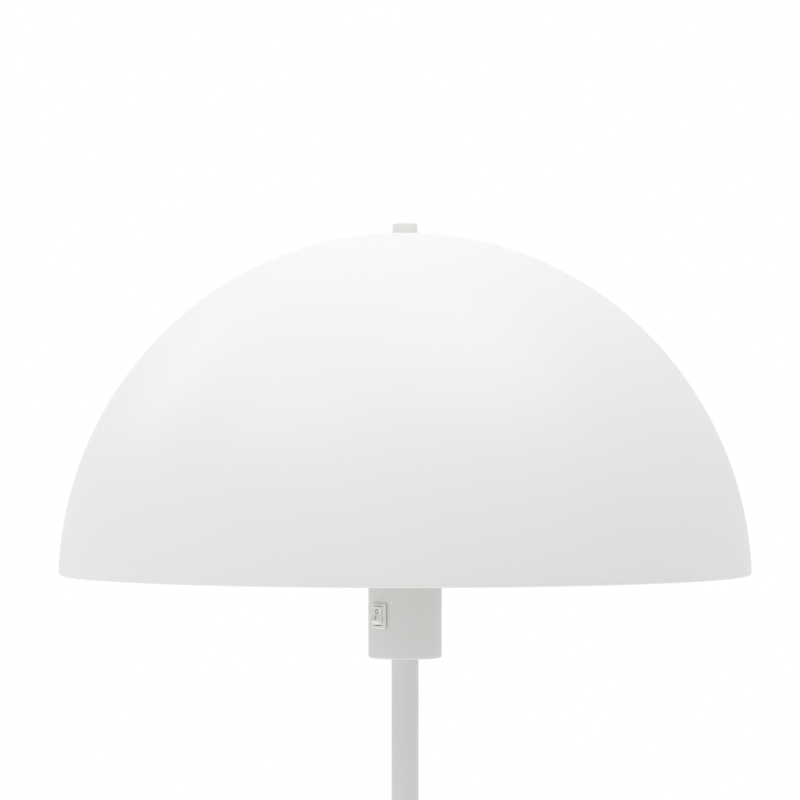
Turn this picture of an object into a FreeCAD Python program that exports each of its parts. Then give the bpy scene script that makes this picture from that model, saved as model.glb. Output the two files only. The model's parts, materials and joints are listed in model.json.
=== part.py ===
import FreeCAD, Part
import math
import os
import re
import Sketcher

# A free-standing floor lamp with a spun dome shade, built up from the floor. Every length is in millimetres
# and every angle in degrees. The pole stands on Z, the switch faces -Y and the cord's inlet faces +Y.
SIZES = {
    # The base: a foam pad, a cast weight and a spun cover over both.
    "pad_radius": 124,
    "pad_thick": 2,
    "weight_radius": 125,
    "weight_thick": 15,
    "weight_edge": 1.5,
    "cover_radius": 130,
    "cover_wall": 1,
    "cover_edge": 4,
    "recess_radius": 23,
    "recess_depth": 8,
    "channel_width": 9,
    "channel_depth": 10.2,
    # The cord's inlet in the cover's wall and its rubber grommet.
    "inlet_height": 8,
    "inlet_hole_radius": 4,
    "inlet_bore_radius": 2.9,
    "grommet_flange_radius": 5.2,
    "grommet_flange_thick": 1.2,
    "grommet_slack": 0.15,
    # The pole: three tubes with a threaded bush in each end, joined by hollow studs.
    "pole_radius": 8,
    "pole_wall": 1.2,
    "section_length": 374,
    "bush_length": 14,
    "stud_radius": 5,
    "stud_bore_radius": 3.75,
    "stud_grip": 11,
    "stud_end": 1,
    "nut_flats": 14,
    "nut_thick": 4,
    "locknut_thick": 3.5,
    "foot_washer_radius": 15,
    "foot_washer_thick": 2,
    "head_washer_radius": 8.5,
    "head_washer_thick": 1,
    # The cup under the shade that holds the switch and the lampholder.
    "housing_radius": 21.8,
    "housing_length": 82,
    "housing_wall": 1.2,
    "housing_edge": 1.4,
    "switch_height": 25.5,
    # The strip bracket that lifts the lampholder in the cup.
    "bracket_height": 42.3,
    "bracket_width": 20,
    "bracket_thick": 1.5,
    "bracket_front": 8,
    "bracket_back": 17.4,
    "bracket_bend": 3,
    # The E27 lampholder: a cap on the bracket, an insulating core in it and a screwed sleeve over both.
    "cap_radius": 19.5,
    "cap_height": 22,
    "cap_neck_radius": 8,
    "cap_neck_height": 5,
    "cap_shoulder_height": 10,
    "cap_floor": 2,
    "cap_ledge_radius": 15.5,
    "core_radius": 17.4,
    "core_bottom": 13,
    "core_shoulder": 20,
    "core_floor": 27,
    "core_tube_radius": 15.4,
    "core_bore_radius": 13.4,
    "sleeve_radius": 19.75,
    "sleeve_wall": 1.75,
    "sleeve_length": 34.5,
    "sleeve_lip": 2.5,
    "sleeve_mouth_radius": 13.6,
    "contact_width": 5,
    "contact_thick": 0.5,
    "contact_reach": 6,
    "contact_foot": 3,
    "contact_rise": 3,
    "rivet_radius": 1.5,
    "rivet_tail": 1.5,
    "side_rivet_offset": 9.5,
    "side_contact_offset": 12.6,
    # The harp that carries the shade, and the ring that clamps it on the cup.
    "harp_ring_radius": 25,
    "harp_thick": 2,
    "harp_width": 12,
    "harp_half_span": 45,
    "harp_height": 167,
    "harp_foot_bend": 7,
    "harp_top_bend": 26,
    "harp_slack": 0.3,
    "clamp_ring_radius": 26,
    "clamp_ring_height": 8,
    "seat_washer_radius": 15,
    "seat_washer_thick": 2.5,
    # The shade: a crown arc centred on the rim plane runs into a slightly larger side arc, with a flat seat on
    # top and the edge of the sheet curled inwards at the rim.
    "shade_radius": 205,
    "shade_wall": 0.8,
    "crown_radius": 202.5,
    "crown_angle": 46,
    "seat_radius": 9,
    "shade_hole_radius": 5,
    "curl_radius": 1.5,
    # The knob that screws down on the shade, with a nylon washer trapped in its underside.
    "finial_stud_radius": 3,
    "finial_stud_length": 7.9,
    "knob_radius": 7.35,
    "knob_height": 5.95,
    "knob_edge": 0.8,
    "knob_gap": 0.15,
    "knob_cap": 1,
    "finial_washer_radius": 6.2,
    "finial_washer_thick": 1,
    "finial_washer_slack": 0.2,
    # The rocker switch that snaps into the cup's wall.
    "bezel_width": 10.5,
    "bezel_height": 15,
    "bezel_thick": 1.15,
    "bezel_corner": 0.8,
    "bezel_edge": 0.4,
    "frame_width": 8.8,
    "frame_height": 12.8,
    "frame_depth": 12,
    "frame_back": 2,
    "cutout_slack": 0.2,
    "opening_width": 6.8,
    "opening_height": 11.8,
    "latch_width": 4,
    "latch_height": 0.6,
    "latch_length": 3,
    "rocker_width": 6.4,
    "rocker_half_length": 5.65,
    "rocker_end_depth": 5,
    "rocker_throw": 15.5,
    "rocker_edge": 0.3,
    "pivot_depth": 2.3,
    "valley_height": 1.65,
    "keel_depth": 2,
    "keel_half_width": 1.6,
    "pin_radius": 0.9,
    "pin_length": 8.6,
    "blade_width": 4.8,
    "blade_thick": 0.8,
    "blade_length": 7,
    "blade_offset": 3,
    # The lead from the switch up to the lampholder.
    "lead_radius": 1.2,
    "lead_run": 0.6,
    "lead_bend": 4.6,
    # An E27 globe bulb, measured from its tip.
    "bulb_gap": 0.2,
    "tip_radius": 4.5,
    "tip_height": 1.2,
    "insulator_radius": 10.8,
    "insulator_top": 4.5,
    "bulb_cap_radius": 13.1,
    "bulb_cap_edge": 1.6,
    "bulb_cap_top": 27,
    "bulb_neck_radius": 14,
    "bulb_body_top": 60,
    "bulb_body_curve": 60,
    "globe_radius": 30,
    "globe_centre": 78,
    "globe_wall": 1.2,
    # Radial play of everything that is screwed or slid into something else.
    "running_gap": 0.05,
}
SECTION_NAMES = ("lower", "middle", "upper")

# Heights above the floor and other sizes that follow from the driving ones.
COVER_TOP = "(pad_thick + weight_thick + cover_wall)"
POLE_INSIDE = "(pole_radius - pole_wall)"
POLE_TOP = f"({COVER_TOP} + {len(SECTION_NAMES)} * section_length)"
CUP_FLOOR = f"({POLE_TOP} + housing_wall)"
CUP_INSIDE = "(housing_radius - housing_wall)"
CUP_TOP = f"({POLE_TOP} + housing_length)"
HOLDER_FOOT = f"({CUP_FLOOR} + bracket_height)"
SLEEVE_TOP = "(cap_height + sleeve_length)"
CORE_TOP = f"({SLEEVE_TOP} - sleeve_lip)"
CONTACT_TOP = "(core_floor + contact_rise + contact_thick)"
BULB_TIP = f"({CONTACT_TOP} + bulb_gap)"
HARP_TOP = f"({CUP_TOP} + harp_height)"
SEAT_TOP = f"({HARP_TOP} + seat_washer_thick + shade_wall)"
SEAT_HEIGHT = "sqrt(crown_radius^2 - seat_radius^2)"
RIM_PLANE = f"({SEAT_TOP} - {SEAT_HEIGHT})"
STUD_HOLE = "(stud_radius + running_gap)"
SWITCH_FRONT = "(housing_radius + running_gap + bezel_thick)"
SWITCH_PLACE = f"({POLE_TOP} + switch_height)"

document = FreeCAD.newDocument("FloorLamp")
sheet = document.addObject("Spreadsheet::Sheet", "Sizes")
sub_parts = []


def fill_sheet():
    for row, (name, size) in enumerate(SIZES.items(), start=1):
        sheet.set(f"A{row}", name)
        sheet.set(f"B{row}", str(size))
        sheet.setAlias(f"B{row}", name)
    document.recompute()


def bound(text):
    """The expression text with every size name pointed at its cell of the sheet."""
    return re.sub(r"[a-z]+(?:_[a-z]+)+", lambda name: "Sizes." + name.group(0), text)


def amount(text):
    """What an expression text comes to with the sizes as they stand."""
    return float(sheet.evalExpression(bound(text)))


# ---------------------------------------------------------------- outlines

def line_to(across, up):
    return across, up, None, 0


def left_arc_to(across, up, radius):
    """An arc that turns left, counterclockwise, on its way to the corner; at most half a turn."""
    return across, up, radius, 1


def right_arc_to(across, up, radius):
    return across, up, radius, -1


def polar(radius, angle, across="0", up="0"):
    """The place at that radius and angle from a centre, as expression texts."""
    return f"{across} + {radius} * cos({angle})", f"{up} + {radius} * sin({angle})"


def arc_geometry(start, end, radius, turn):
    chord = end.sub(start)
    height = math.sqrt(max(radius ** 2 - chord.Length ** 2 / 4, 0))
    to_left = FreeCAD.Vector(-chord.y, chord.x, 0).normalize()
    centre = start.add(end).multiply(0.5).add(to_left.multiply(turn * height))
    first, last = (start, end) if turn > 0 else (end, start)
    angles = [math.atan2(point.y - centre.y, point.x - centre.x) for point in (first, last)]
    if angles[1] < angles[0]:
        angles[1] += 2 * math.pi
    circle = Part.Circle(centre, FreeCAD.Vector(0, 0, 1), radius)
    return Part.ArcOfCircle(circle, angles[0], angles[1])


def hold_point(sketch, geometry, end, across, up):
    """Ties one point of a sketch to its place, given as expression texts."""
    for kind, axis, text in (("DistanceX", -2, across), ("DistanceY", -1, up)):
        if text == "0":
            sketch.addConstraint(Sketcher.Constraint("PointOnObject", geometry, end, axis))
        else:
            held = sketch.addConstraint(Sketcher.Constraint(kind, -1, 1, geometry, end, amount(text)))
            sketch.setExpression(f"Constraints[{held}]", bound(text))


def draw_closed(sketch, steps):
    """Closes an outline through the steps; each is a corner with the line or arc that leads to it."""
    points = [FreeCAD.Vector(amount(step[0]), amount(step[1]), 0) for step in steps]
    edges = []
    for index, (across, up, radius, turn) in enumerate(steps):
        start, end = points[index - 1], points[index]
        if turn == 0:
            edges.append((sketch.addGeometry(Part.LineSegment(start, end)), 1, 2))
        else:
            arc = sketch.addGeometry(arc_geometry(start, end, amount(radius), turn))
            held = sketch.addConstraint(Sketcher.Constraint("Radius", arc, amount(radius)))
            sketch.setExpression(f"Constraints[{held}]", bound(radius))
            edges.append((arc, 1, 2) if turn > 0 else (arc, 2, 1))
    for index, (geometry, _, end) in enumerate(edges):
        following, start, _ = edges[(index + 1) % len(edges)]
        sketch.addConstraint(Sketcher.Constraint("Coincident", geometry, end, following, start))
        hold_point(sketch, geometry, end, steps[index][0], steps[index][1])


def draw_circle(sketch, radius, across="0", up="0"):
    centre = FreeCAD.Vector(amount(across), amount(up), 0)
    circle = sketch.addGeometry(Part.Circle(centre, FreeCAD.Vector(0, 0, 1), amount(radius)))
    held = sketch.addConstraint(Sketcher.Constraint("Radius", circle, amount(radius)))
    sketch.setExpression(f"Constraints[{held}]", bound(radius))
    hold_point(sketch, circle, 3, across, up)


def draw_box(sketch, width, height, across="0", up="0"):
    """A rectangle about its centre."""
    corners = ((-0.5, -0.5), (0.5, -0.5), (0.5, 0.5), (-0.5, 0.5))
    draw_closed(sketch, [line_to(f"{across} + {right} * {width}", f"{up} + {top} * {height}")
                         for right, top in corners])


# ---------------------------------------------------------------- bodies and their features

def new_sub_part(name, across="0", along="0", up="0"):
    """An empty body with its own label, standing where the expression texts say."""
    body = document.addObject("PartDesign::Body", name)
    body.Label = name
    for axis, place in (("x", across), ("y", along), ("z", up)):
        if place != "0":
            body.setExpression(f"Placement.Base.{axis}", bound(place))
    sub_parts.append(body)
    return body


def new_sketch(body, plane, offset="0"):
    """A sketch on one of the body's own planes, moved along the plane's normal by the offset."""
    sketch = body.newObject("Sketcher::SketchObject", f"{body.Name}_outline")
    support = [feature for feature in body.Origin.OriginFeatures if feature.Role == plane]
    sketch.AttachmentSupport = [(support[0], "")]
    sketch.MapMode = "FlatFace"
    if offset != "0":
        sketch.setExpression("AttachmentOffset.Base.z", bound(offset))
    return sketch


def turn(body, steps, plane="XZ_Plane", axis="V_Axis"):
    """Revolves an outline once round an axis of its sketch."""
    sketch = new_sketch(body, plane)
    draw_closed(sketch, steps)
    feature = body.newObject("PartDesign::Revolution", f"{body.Name}_turned")
    feature.Profile = sketch
    feature.ReferenceAxis = (sketch, [axis])
    feature.Angle = 360
    return feature


def extrude(kind, body, sketch, length, symmetric, reverse):
    feature = body.newObject(f"PartDesign::{kind}", f"{body.Name}_{kind.lower()}")
    feature.Profile = sketch
    feature.SideType = "Symmetric" if symmetric else "One side"
    feature.setExpression("Length", bound(length))
    feature.Reversed = reverse
    return feature


def pad(body, sketch, length, symmetric=False, reverse=False):
    return extrude("Pad", body, sketch, length, symmetric, reverse)


def cut(body, sketch, length, symmetric=False, reverse=False):
    """Pockets the body and makes sure that something came away."""
    document.recompute()
    before = body.Shape.Volume
    feature = extrude("Pocket", body, sketch, length, symmetric, reverse)
    document.recompute()
    if body.Shape.Volume > before - 1e-3:
        raise ValueError(f"{body.Label}: a cut misses the solid")
    return feature


def dress_edges(kind, body, size, wanted):
    """Fillets or chamfers the edges whose middle and length the wanted test accepts."""
    document.recompute()
    base = body.Tip
    names = [f"Edge{number}" for number, edge in enumerate(base.Shape.Edges, start=1)
             if wanted(edge.CenterOfMass, edge)]
    if not names:
        raise ValueError(f"{body.Label}: no edge to dress")
    feature = body.newObject(f"PartDesign::{kind}", f"{body.Name}_{kind.lower()}")
    feature.Base = (base, names)
    feature.setExpression("Radius" if kind == "Fillet" else "Size", bound(size))
    return feature


def ring(name, inside, outside, thick, up):
    """A washer, bush or tube that stands on its end face."""
    body = new_sub_part(name, up=up)
    sketch = new_sketch(body, "XY_Plane")
    draw_circle(sketch, outside)
    draw_circle(sketch, inside)
    pad(body, sketch, thick)
    return body


def hexagon_nut(name, thick, up):
    """A hexagon nut on the hollow stud."""
    body = new_sub_part(name, up=up)
    sketch = new_sketch(body, "XY_Plane")
    draw_closed(sketch, [line_to(*polar("nut_flats / (2 * cos(30))", 60 * corner)) for corner in range(6)])
    draw_circle(sketch, STUD_HOLE)
    pad(body, sketch, thick)
    return body


# ---------------------------------------------------------------- base

def make_base_pad():
    body = new_sub_part("base_pad")
    sketch = new_sketch(body, "XY_Plane")
    draw_circle(sketch, "pad_radius")
    pad(body, sketch, "pad_thick")


def make_base_weight():
    """A cast disc with a recess under its middle for the nut and a channel from there to the cord's inlet."""
    body = new_sub_part("base_weight", up="pad_thick")
    turn(body, [
        line_to(STUD_HOLE, "recess_depth"),
        line_to("recess_radius", "recess_depth"),
        line_to("recess_radius", "0"),
        line_to("weight_radius - weight_edge", "0"),
        left_arc_to("weight_radius", "weight_edge", "weight_edge"),
        line_to("weight_radius", "weight_thick - weight_edge"),
        left_arc_to("weight_radius - weight_edge", "weight_thick", "weight_edge"),
        line_to(STUD_HOLE, "weight_thick"),
    ])
    channel = new_sketch(body, "XY_Plane")
    draw_box(channel, "channel_width", "weight_radius", up="0.5 * weight_radius + 1")
    cut(body, channel, "channel_depth", reverse=True)


def make_base_cover():
    """A spun steel cap over the weight, with the cord's hole in its wall."""
    body = new_sub_part("base_cover", up="pad_thick")
    top = "(weight_thick + cover_wall)"
    turn(body, [
        line_to(STUD_HOLE, "weight_thick"),
        line_to("cover_radius - cover_edge", "weight_thick"),
        right_arc_to("cover_radius - cover_wall", f"{top} - cover_edge", "cover_edge - cover_wall"),
        line_to("cover_radius - cover_wall", "0"),
        line_to("cover_radius", "0"),
        line_to("cover_radius", f"{top} - cover_edge"),
        left_arc_to("cover_radius - cover_edge", top, "cover_edge"),
        line_to(STUD_HOLE, top),
    ])
    inlet = new_sketch(body, "XZ_Plane")
    draw_circle(inlet, "inlet_hole_radius", up="inlet_height - pad_thick")
    cut(body, inlet, "2 * cover_radius")


def make_cord_grommet():
    """A rubber bush whose groove grips the cover's wall; its bore is the cord's inlet."""
    body = new_sub_part("cord_grommet", up="inlet_height")
    inner = "(cover_radius - cover_wall - grommet_slack)"
    outer = "(cover_radius + running_gap)"
    waist = "inlet_hole_radius - running_gap"
    turn(body, [
        line_to(f"{inner} - grommet_flange_thick", "inlet_bore_radius"),
        line_to(f"{outer} + grommet_flange_thick", "inlet_bore_radius"),
        line_to(f"{outer} + grommet_flange_thick", "grommet_flange_radius"),
        line_to(outer, "grommet_flange_radius"),
        line_to(outer, waist),
        line_to(inner, waist),
        line_to(inner, "grommet_flange_radius"),
        line_to(f"{inner} - grommet_flange_thick", "grommet_flange_radius"),
    ], plane="YZ_Plane", axis="H_Axis")


def make_foot_clamp():
    """The stud, washer and nut that pull the pole down on the cover and the weight."""
    ceiling = "(pad_thick + recess_depth)"
    washer_bottom = f"({ceiling} - foot_washer_thick)"
    nut_bottom = f"({washer_bottom} - nut_thick)"
    ring("foot_washer", STUD_HOLE, "foot_washer_radius", "foot_washer_thick", washer_bottom)
    hexagon_nut("foot_nut", "nut_thick", nut_bottom)
    foot = f"({nut_bottom} - stud_end)"
    ring("foot_stud", "stud_bore_radius", "stud_radius", f"{COVER_TOP} + stud_grip - {foot}", foot)


# ---------------------------------------------------------------- pole

def make_pole():
    """Each section is a tube with a bush flush in each end; a stud joins it to the section above."""
    for number, section in enumerate(SECTION_NAMES):
        foot = f"({COVER_TOP} + {number} * section_length)"
        top = f"({foot} + section_length)"
        ring(f"{section}_pole", POLE_INSIDE, "pole_radius", "section_length", foot)
        ring(f"{section}_pole_foot_bush", STUD_HOLE, POLE_INSIDE, "bush_length", foot)
        ring(f"{section}_pole_top_bush", STUD_HOLE, POLE_INSIDE, "bush_length", f"{top} - bush_length")
        if section != SECTION_NAMES[-1]:
            ring(f"{section}_joint_stud", "stud_bore_radius", "stud_radius", "2 * stud_grip", f"{top} - stud_grip")


# ---------------------------------------------------------------- head

def make_switch_housing():
    """A drawn cup that closes the pole's top, with a cut-out in its wall for the switch."""
    body = new_sub_part("switch_housing", up=POLE_TOP)
    turn(body, [
        line_to(STUD_HOLE, "0"),
        line_to("housing_radius - housing_edge", "0"),
        left_arc_to("housing_radius", "housing_edge", "housing_edge"),
        line_to("housing_radius", "housing_length"),
        line_to(CUP_INSIDE, "housing_length"),
        line_to(CUP_INSIDE, "housing_wall"),
        line_to(STUD_HOLE, "housing_wall"),
    ])
    cutout = new_sketch(body, "XZ_Plane")
    draw_box(cutout, "(frame_width + cutout_slack)", "(frame_height + 2 * cutout_slack)", up="switch_height")
    cut(body, cutout, "2 * housing_radius", reverse=True)


def make_head_clamp():
    """The stud, washer and nut that hold the bracket and the cup down on the pole."""
    washer_bottom = f"({CUP_FLOOR} + bracket_thick)"
    nut_bottom = f"({washer_bottom} + head_washer_thick)"
    foot = f"({POLE_TOP} - stud_grip)"
    ring("head_stud", "stud_bore_radius", "stud_radius", f"{nut_bottom} + nut_thick + stud_end - {foot}", foot)
    ring("head_washer", STUD_HOLE, "head_washer_radius", "head_washer_thick", washer_bottom)
    hexagon_nut("head_nut", "nut_thick", nut_bottom)


def make_holder_bracket():
    """A steel strip bent to a C, holed for the pole's stud below and the lampholder's above."""
    body = new_sub_part("holder_bracket", up=CUP_FLOOR)
    side = new_sketch(body, "YZ_Plane")
    inner_bend = "bracket_bend - bracket_thick"
    draw_closed(side, [
        line_to("-bracket_front", "0"),
        line_to("bracket_back - bracket_bend", "0"),
        left_arc_to("bracket_back", "bracket_bend", "bracket_bend"),
        line_to("bracket_back", "bracket_height - bracket_bend"),
        left_arc_to("bracket_back - bracket_bend", "bracket_height", "bracket_bend"),
        line_to("-bracket_front", "bracket_height"),
        line_to("-bracket_front", "bracket_height - bracket_thick"),
        line_to("bracket_back - bracket_bend", "bracket_height - bracket_thick"),
        right_arc_to("bracket_back - bracket_thick", "bracket_height - bracket_bend", inner_bend),
        line_to("bracket_back - bracket_thick", "bracket_bend"),
        right_arc_to("bracket_back - bracket_bend", "bracket_thick", inner_bend),
        line_to("-bracket_front", "bracket_thick"),
    ])
    pad(body, side, "bracket_width", symmetric=True)
    holes = new_sketch(body, "XY_Plane")
    draw_circle(holes, STUD_HOLE)
    cut(body, holes, "bracket_height", reverse=True)


def make_holder_clamp():
    """The short hollow stud and the locknut that fix the lampholder's cap on the bracket."""
    nut_bottom = f"({HOLDER_FOOT} - bracket_thick - locknut_thick)"
    foot = f"({nut_bottom} - stud_end)"
    hexagon_nut("holder_locknut", "locknut_thick", nut_bottom)
    ring("holder_stud", "stud_bore_radius", "stud_radius", f"{HOLDER_FOOT} + cap_neck_height - {foot}", foot)


def make_holder_cap():
    """A bell with a neck for the stud, a ledge for the core and a rim for the sleeve."""
    body = new_sub_part("holder_cap", up=HOLDER_FOOT)
    seat = "(core_radius + running_gap)"
    turn(body, [
        line_to(STUD_HOLE, "0"),
        line_to("cap_neck_radius", "0"),
        line_to("cap_neck_radius", "cap_neck_height"),
        line_to("cap_radius", "cap_shoulder_height"),
        line_to("cap_radius", "cap_height"),
        line_to(seat, "cap_height"),
        line_to(seat, "core_bottom"),
        line_to("cap_ledge_radius", "core_bottom"),
        line_to("cap_ledge_radius", "cap_shoulder_height + 0.5 * cap_floor"),
        line_to("cap_neck_radius - 0.5", "cap_neck_height + cap_floor"),
        line_to(STUD_HOLE, "cap_neck_height + cap_floor"),
    ])


def make_holder_core():
    """The insulating block: a floor that carries the contacts, and the tube that the bulb screws into."""
    body = new_sub_part("holder_core", up=HOLDER_FOOT)
    hole = "(rivet_radius + running_gap)"
    turn(body, [
        line_to(hole, "core_bottom"),
        line_to("core_radius", "core_bottom"),
        line_to("core_radius", "core_shoulder"),
        line_to("core_tube_radius", "core_shoulder"),
        line_to("core_tube_radius", CORE_TOP),
        line_to("core_bore_radius", CORE_TOP),
        line_to("core_bore_radius", "core_floor"),
        line_to(hole, "core_floor"),
    ])
    side_hole = new_sketch(body, "XY_Plane")
    draw_circle(side_hole, hole, across="-side_rivet_offset")
    cut(body, side_hole, "core_floor", reverse=True)


def make_contacts():
    """The sprung centre contact, folded back over itself, and the upright side contact, each on its rivet."""
    rivet_bottom = "core_bottom - rivet_tail"
    rivet_length = "core_floor - core_bottom + rivet_tail"

    centre = new_sub_part("centre_contact", up=HOLDER_FOOT)
    fold = "(0.5 * (contact_rise + contact_thick))"
    inner_fold = f"({fold} - contact_thick)"
    leaf = new_sketch(centre, "XZ_Plane")
    draw_closed(leaf, [
        line_to("-contact_foot", "core_floor"),
        line_to("contact_reach", "core_floor"),
        left_arc_to(f"contact_reach + {fold}", f"core_floor + {fold}", fold),
        left_arc_to("contact_reach", CONTACT_TOP, fold),
        line_to("-contact_foot", CONTACT_TOP),
        line_to("-contact_foot", f"{CONTACT_TOP} - contact_thick"),
        line_to("contact_reach", f"{CONTACT_TOP} - contact_thick"),
        right_arc_to(f"contact_reach + {inner_fold}", f"core_floor + {fold}", inner_fold),
        right_arc_to("contact_reach", "core_floor + contact_thick", inner_fold),
        line_to("-contact_foot", "core_floor + contact_thick"),
    ])
    pad(centre, leaf, "contact_width", symmetric=True)
    rivet = new_sketch(centre, "XY_Plane", rivet_bottom)
    draw_circle(rivet, "rivet_radius")
    pad(centre, rivet, rivet_length)

    side = new_sub_part("side_contact", up=HOLDER_FOOT)
    tip = f"({BULB_TIP} + insulator_top - bulb_gap)"
    tongue = new_sketch(side, "XZ_Plane")
    draw_closed(tongue, [
        line_to("contact_thick - side_contact_offset", "core_floor + contact_thick"),
        line_to("contact_thick - side_contact_offset", tip),
        line_to("-side_contact_offset", tip),
        line_to("-side_contact_offset", "core_floor"),
        line_to("rivet_radius - side_rivet_offset", "core_floor"),
        line_to("rivet_radius - side_rivet_offset", "core_floor + contact_thick"),
    ])
    pad(side, tongue, "contact_width", symmetric=True)
    side_rivet = new_sketch(side, "XY_Plane", rivet_bottom)
    draw_circle(side_rivet, "rivet_radius", across="-side_rivet_offset")
    pad(side, side_rivet, rivet_length)


def make_holder_sleeve():
    """The sleeve that screws on the cap, with a lip that holds the core down."""
    body = new_sub_part("holder_sleeve", up=HOLDER_FOOT)
    inside = "(sleeve_radius - sleeve_wall)"
    turn(body, [
        line_to(inside, "cap_height"),
        line_to("sleeve_radius", "cap_height"),
        line_to("sleeve_radius", f"{SLEEVE_TOP} - 1"),
        line_to("sleeve_radius - 1", SLEEVE_TOP),
        line_to("sleeve_mouth_radius", SLEEVE_TOP),
        line_to("sleeve_mouth_radius", CORE_TOP),
        line_to(inside, CORE_TOP),
    ])


def make_holder_lead():
    """The insulated wire from the switch's upper blade, up the bracket's stud to the centre contact."""
    blade_end = f"(frame_depth + blade_length - {SWITCH_FRONT})"
    body = new_sub_part("holder_lead", along=blade_end, up=f"{SWITCH_PLACE} + blade_offset")
    end = "core_bottom - rivet_tail"
    rise = f"({HOLDER_FOOT} + {end} - {SWITCH_PLACE} - blade_offset)"
    section = new_sketch(body, "XZ_Plane")
    draw_circle(section, "lead_radius")
    route = new_sketch(body, "YZ_Plane")
    corners = [("0", "0"), ("lead_run", "0"), ("lead_run + lead_bend", "lead_bend"), ("lead_run + lead_bend", rise)]
    points = [FreeCAD.Vector(amount(across), amount(up), 0) for across, up in corners]
    run = route.addGeometry(Part.LineSegment(points[0], points[1]))
    bend = route.addGeometry(arc_geometry(points[1], points[2], amount("lead_bend"), 1))
    climb = route.addGeometry(Part.LineSegment(points[2], points[3]))
    route.addConstraint(Sketcher.Constraint("Coincident", run, 2, bend, 1))
    route.addConstraint(Sketcher.Constraint("Coincident", bend, 2, climb, 1))
    held = route.addConstraint(Sketcher.Constraint("Radius", bend, amount("lead_bend")))
    route.setExpression(f"Constraints[{held}]", bound("lead_bend"))
    for geometry, end, (across, up) in ((run, 1, corners[0]), (run, 2, corners[1]),
                                        (bend, 2, corners[2]), (climb, 2, corners[3])):
        hold_point(route, geometry, end, across, up)
    pipe = body.newObject("PartDesign::AdditivePipe", "holder_lead_pipe")
    pipe.Profile = section
    pipe.Spine = route


def make_harp():
    """A strip bent to a loop round the bulb, with a ring at its foot and the shade's stud on top."""
    body = new_sub_part("harp", up=CUP_TOP)
    side = new_sketch(body, "XZ_Plane")
    for inset in ("0", "harp_thick"):
        half = f"(harp_half_span - {inset})"
        foot = f"(harp_foot_bend - {inset})"
        crest = f"(harp_top_bend - {inset})"
        top = f"(harp_height - {inset})"
        shoulder = "(harp_half_span - harp_foot_bend)"
        brow = "(harp_half_span - harp_top_bend)"
        bottom = inset
        draw_closed(side, [
            left_arc_to(f"-{shoulder}", bottom, foot),
            line_to(shoulder, bottom),
            left_arc_to(half, "harp_foot_bend", foot),
            line_to(half, "harp_height - harp_top_bend"),
            left_arc_to(brow, top, crest),
            line_to(f"-{brow}", top),
            left_arc_to(f"-{half}", "harp_height - harp_top_bend", crest),
            line_to(f"-{half}", "harp_foot_bend"),
        ])
    pad(body, side, "harp_width", symmetric=True)
    foot_ring = new_sketch(body, "XY_Plane")
    draw_circle(foot_ring, "harp_ring_radius")
    pad(body, foot_ring, "harp_thick")
    stud = new_sketch(body, "XY_Plane", "harp_height - harp_thick")
    draw_circle(stud, "finial_stud_radius")
    pad(body, stud, "harp_thick + finial_stud_length")
    bore = new_sketch(body, "XY_Plane")
    draw_circle(bore, "sleeve_radius + harp_slack")
    cut(body, bore, "harp_thick", reverse=True)


def make_shade_seat():
    """The washer on the harp whose upper side follows the inside of the crown."""
    body = new_sub_part("shade_seat_washer", up=HARP_TOP)
    inner_crown = "(crown_radius - shade_wall)"
    flat = "(seat_radius - 0.5)"
    drop = f"({inner_crown} - sqrt({inner_crown}^2 - seat_washer_radius^2))"
    turn(body, [
        line_to("finial_stud_radius + running_gap", "0"),
        line_to("seat_washer_radius", "0"),
        line_to("seat_washer_radius", f"seat_washer_thick - {drop}"),
        line_to(flat, "seat_washer_thick"),
        line_to("finial_stud_radius + running_gap", "seat_washer_thick"),
    ])


def make_clamp_ring():
    """The ring on the sleeve's thread that clamps the harp's foot on the cup."""
    ring("clamp_ring", "sleeve_radius + running_gap", "clamp_ring_radius", "clamp_ring_height",
         f"{CUP_TOP} + harp_thick")


# ---------------------------------------------------------------- shade and knob

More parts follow.
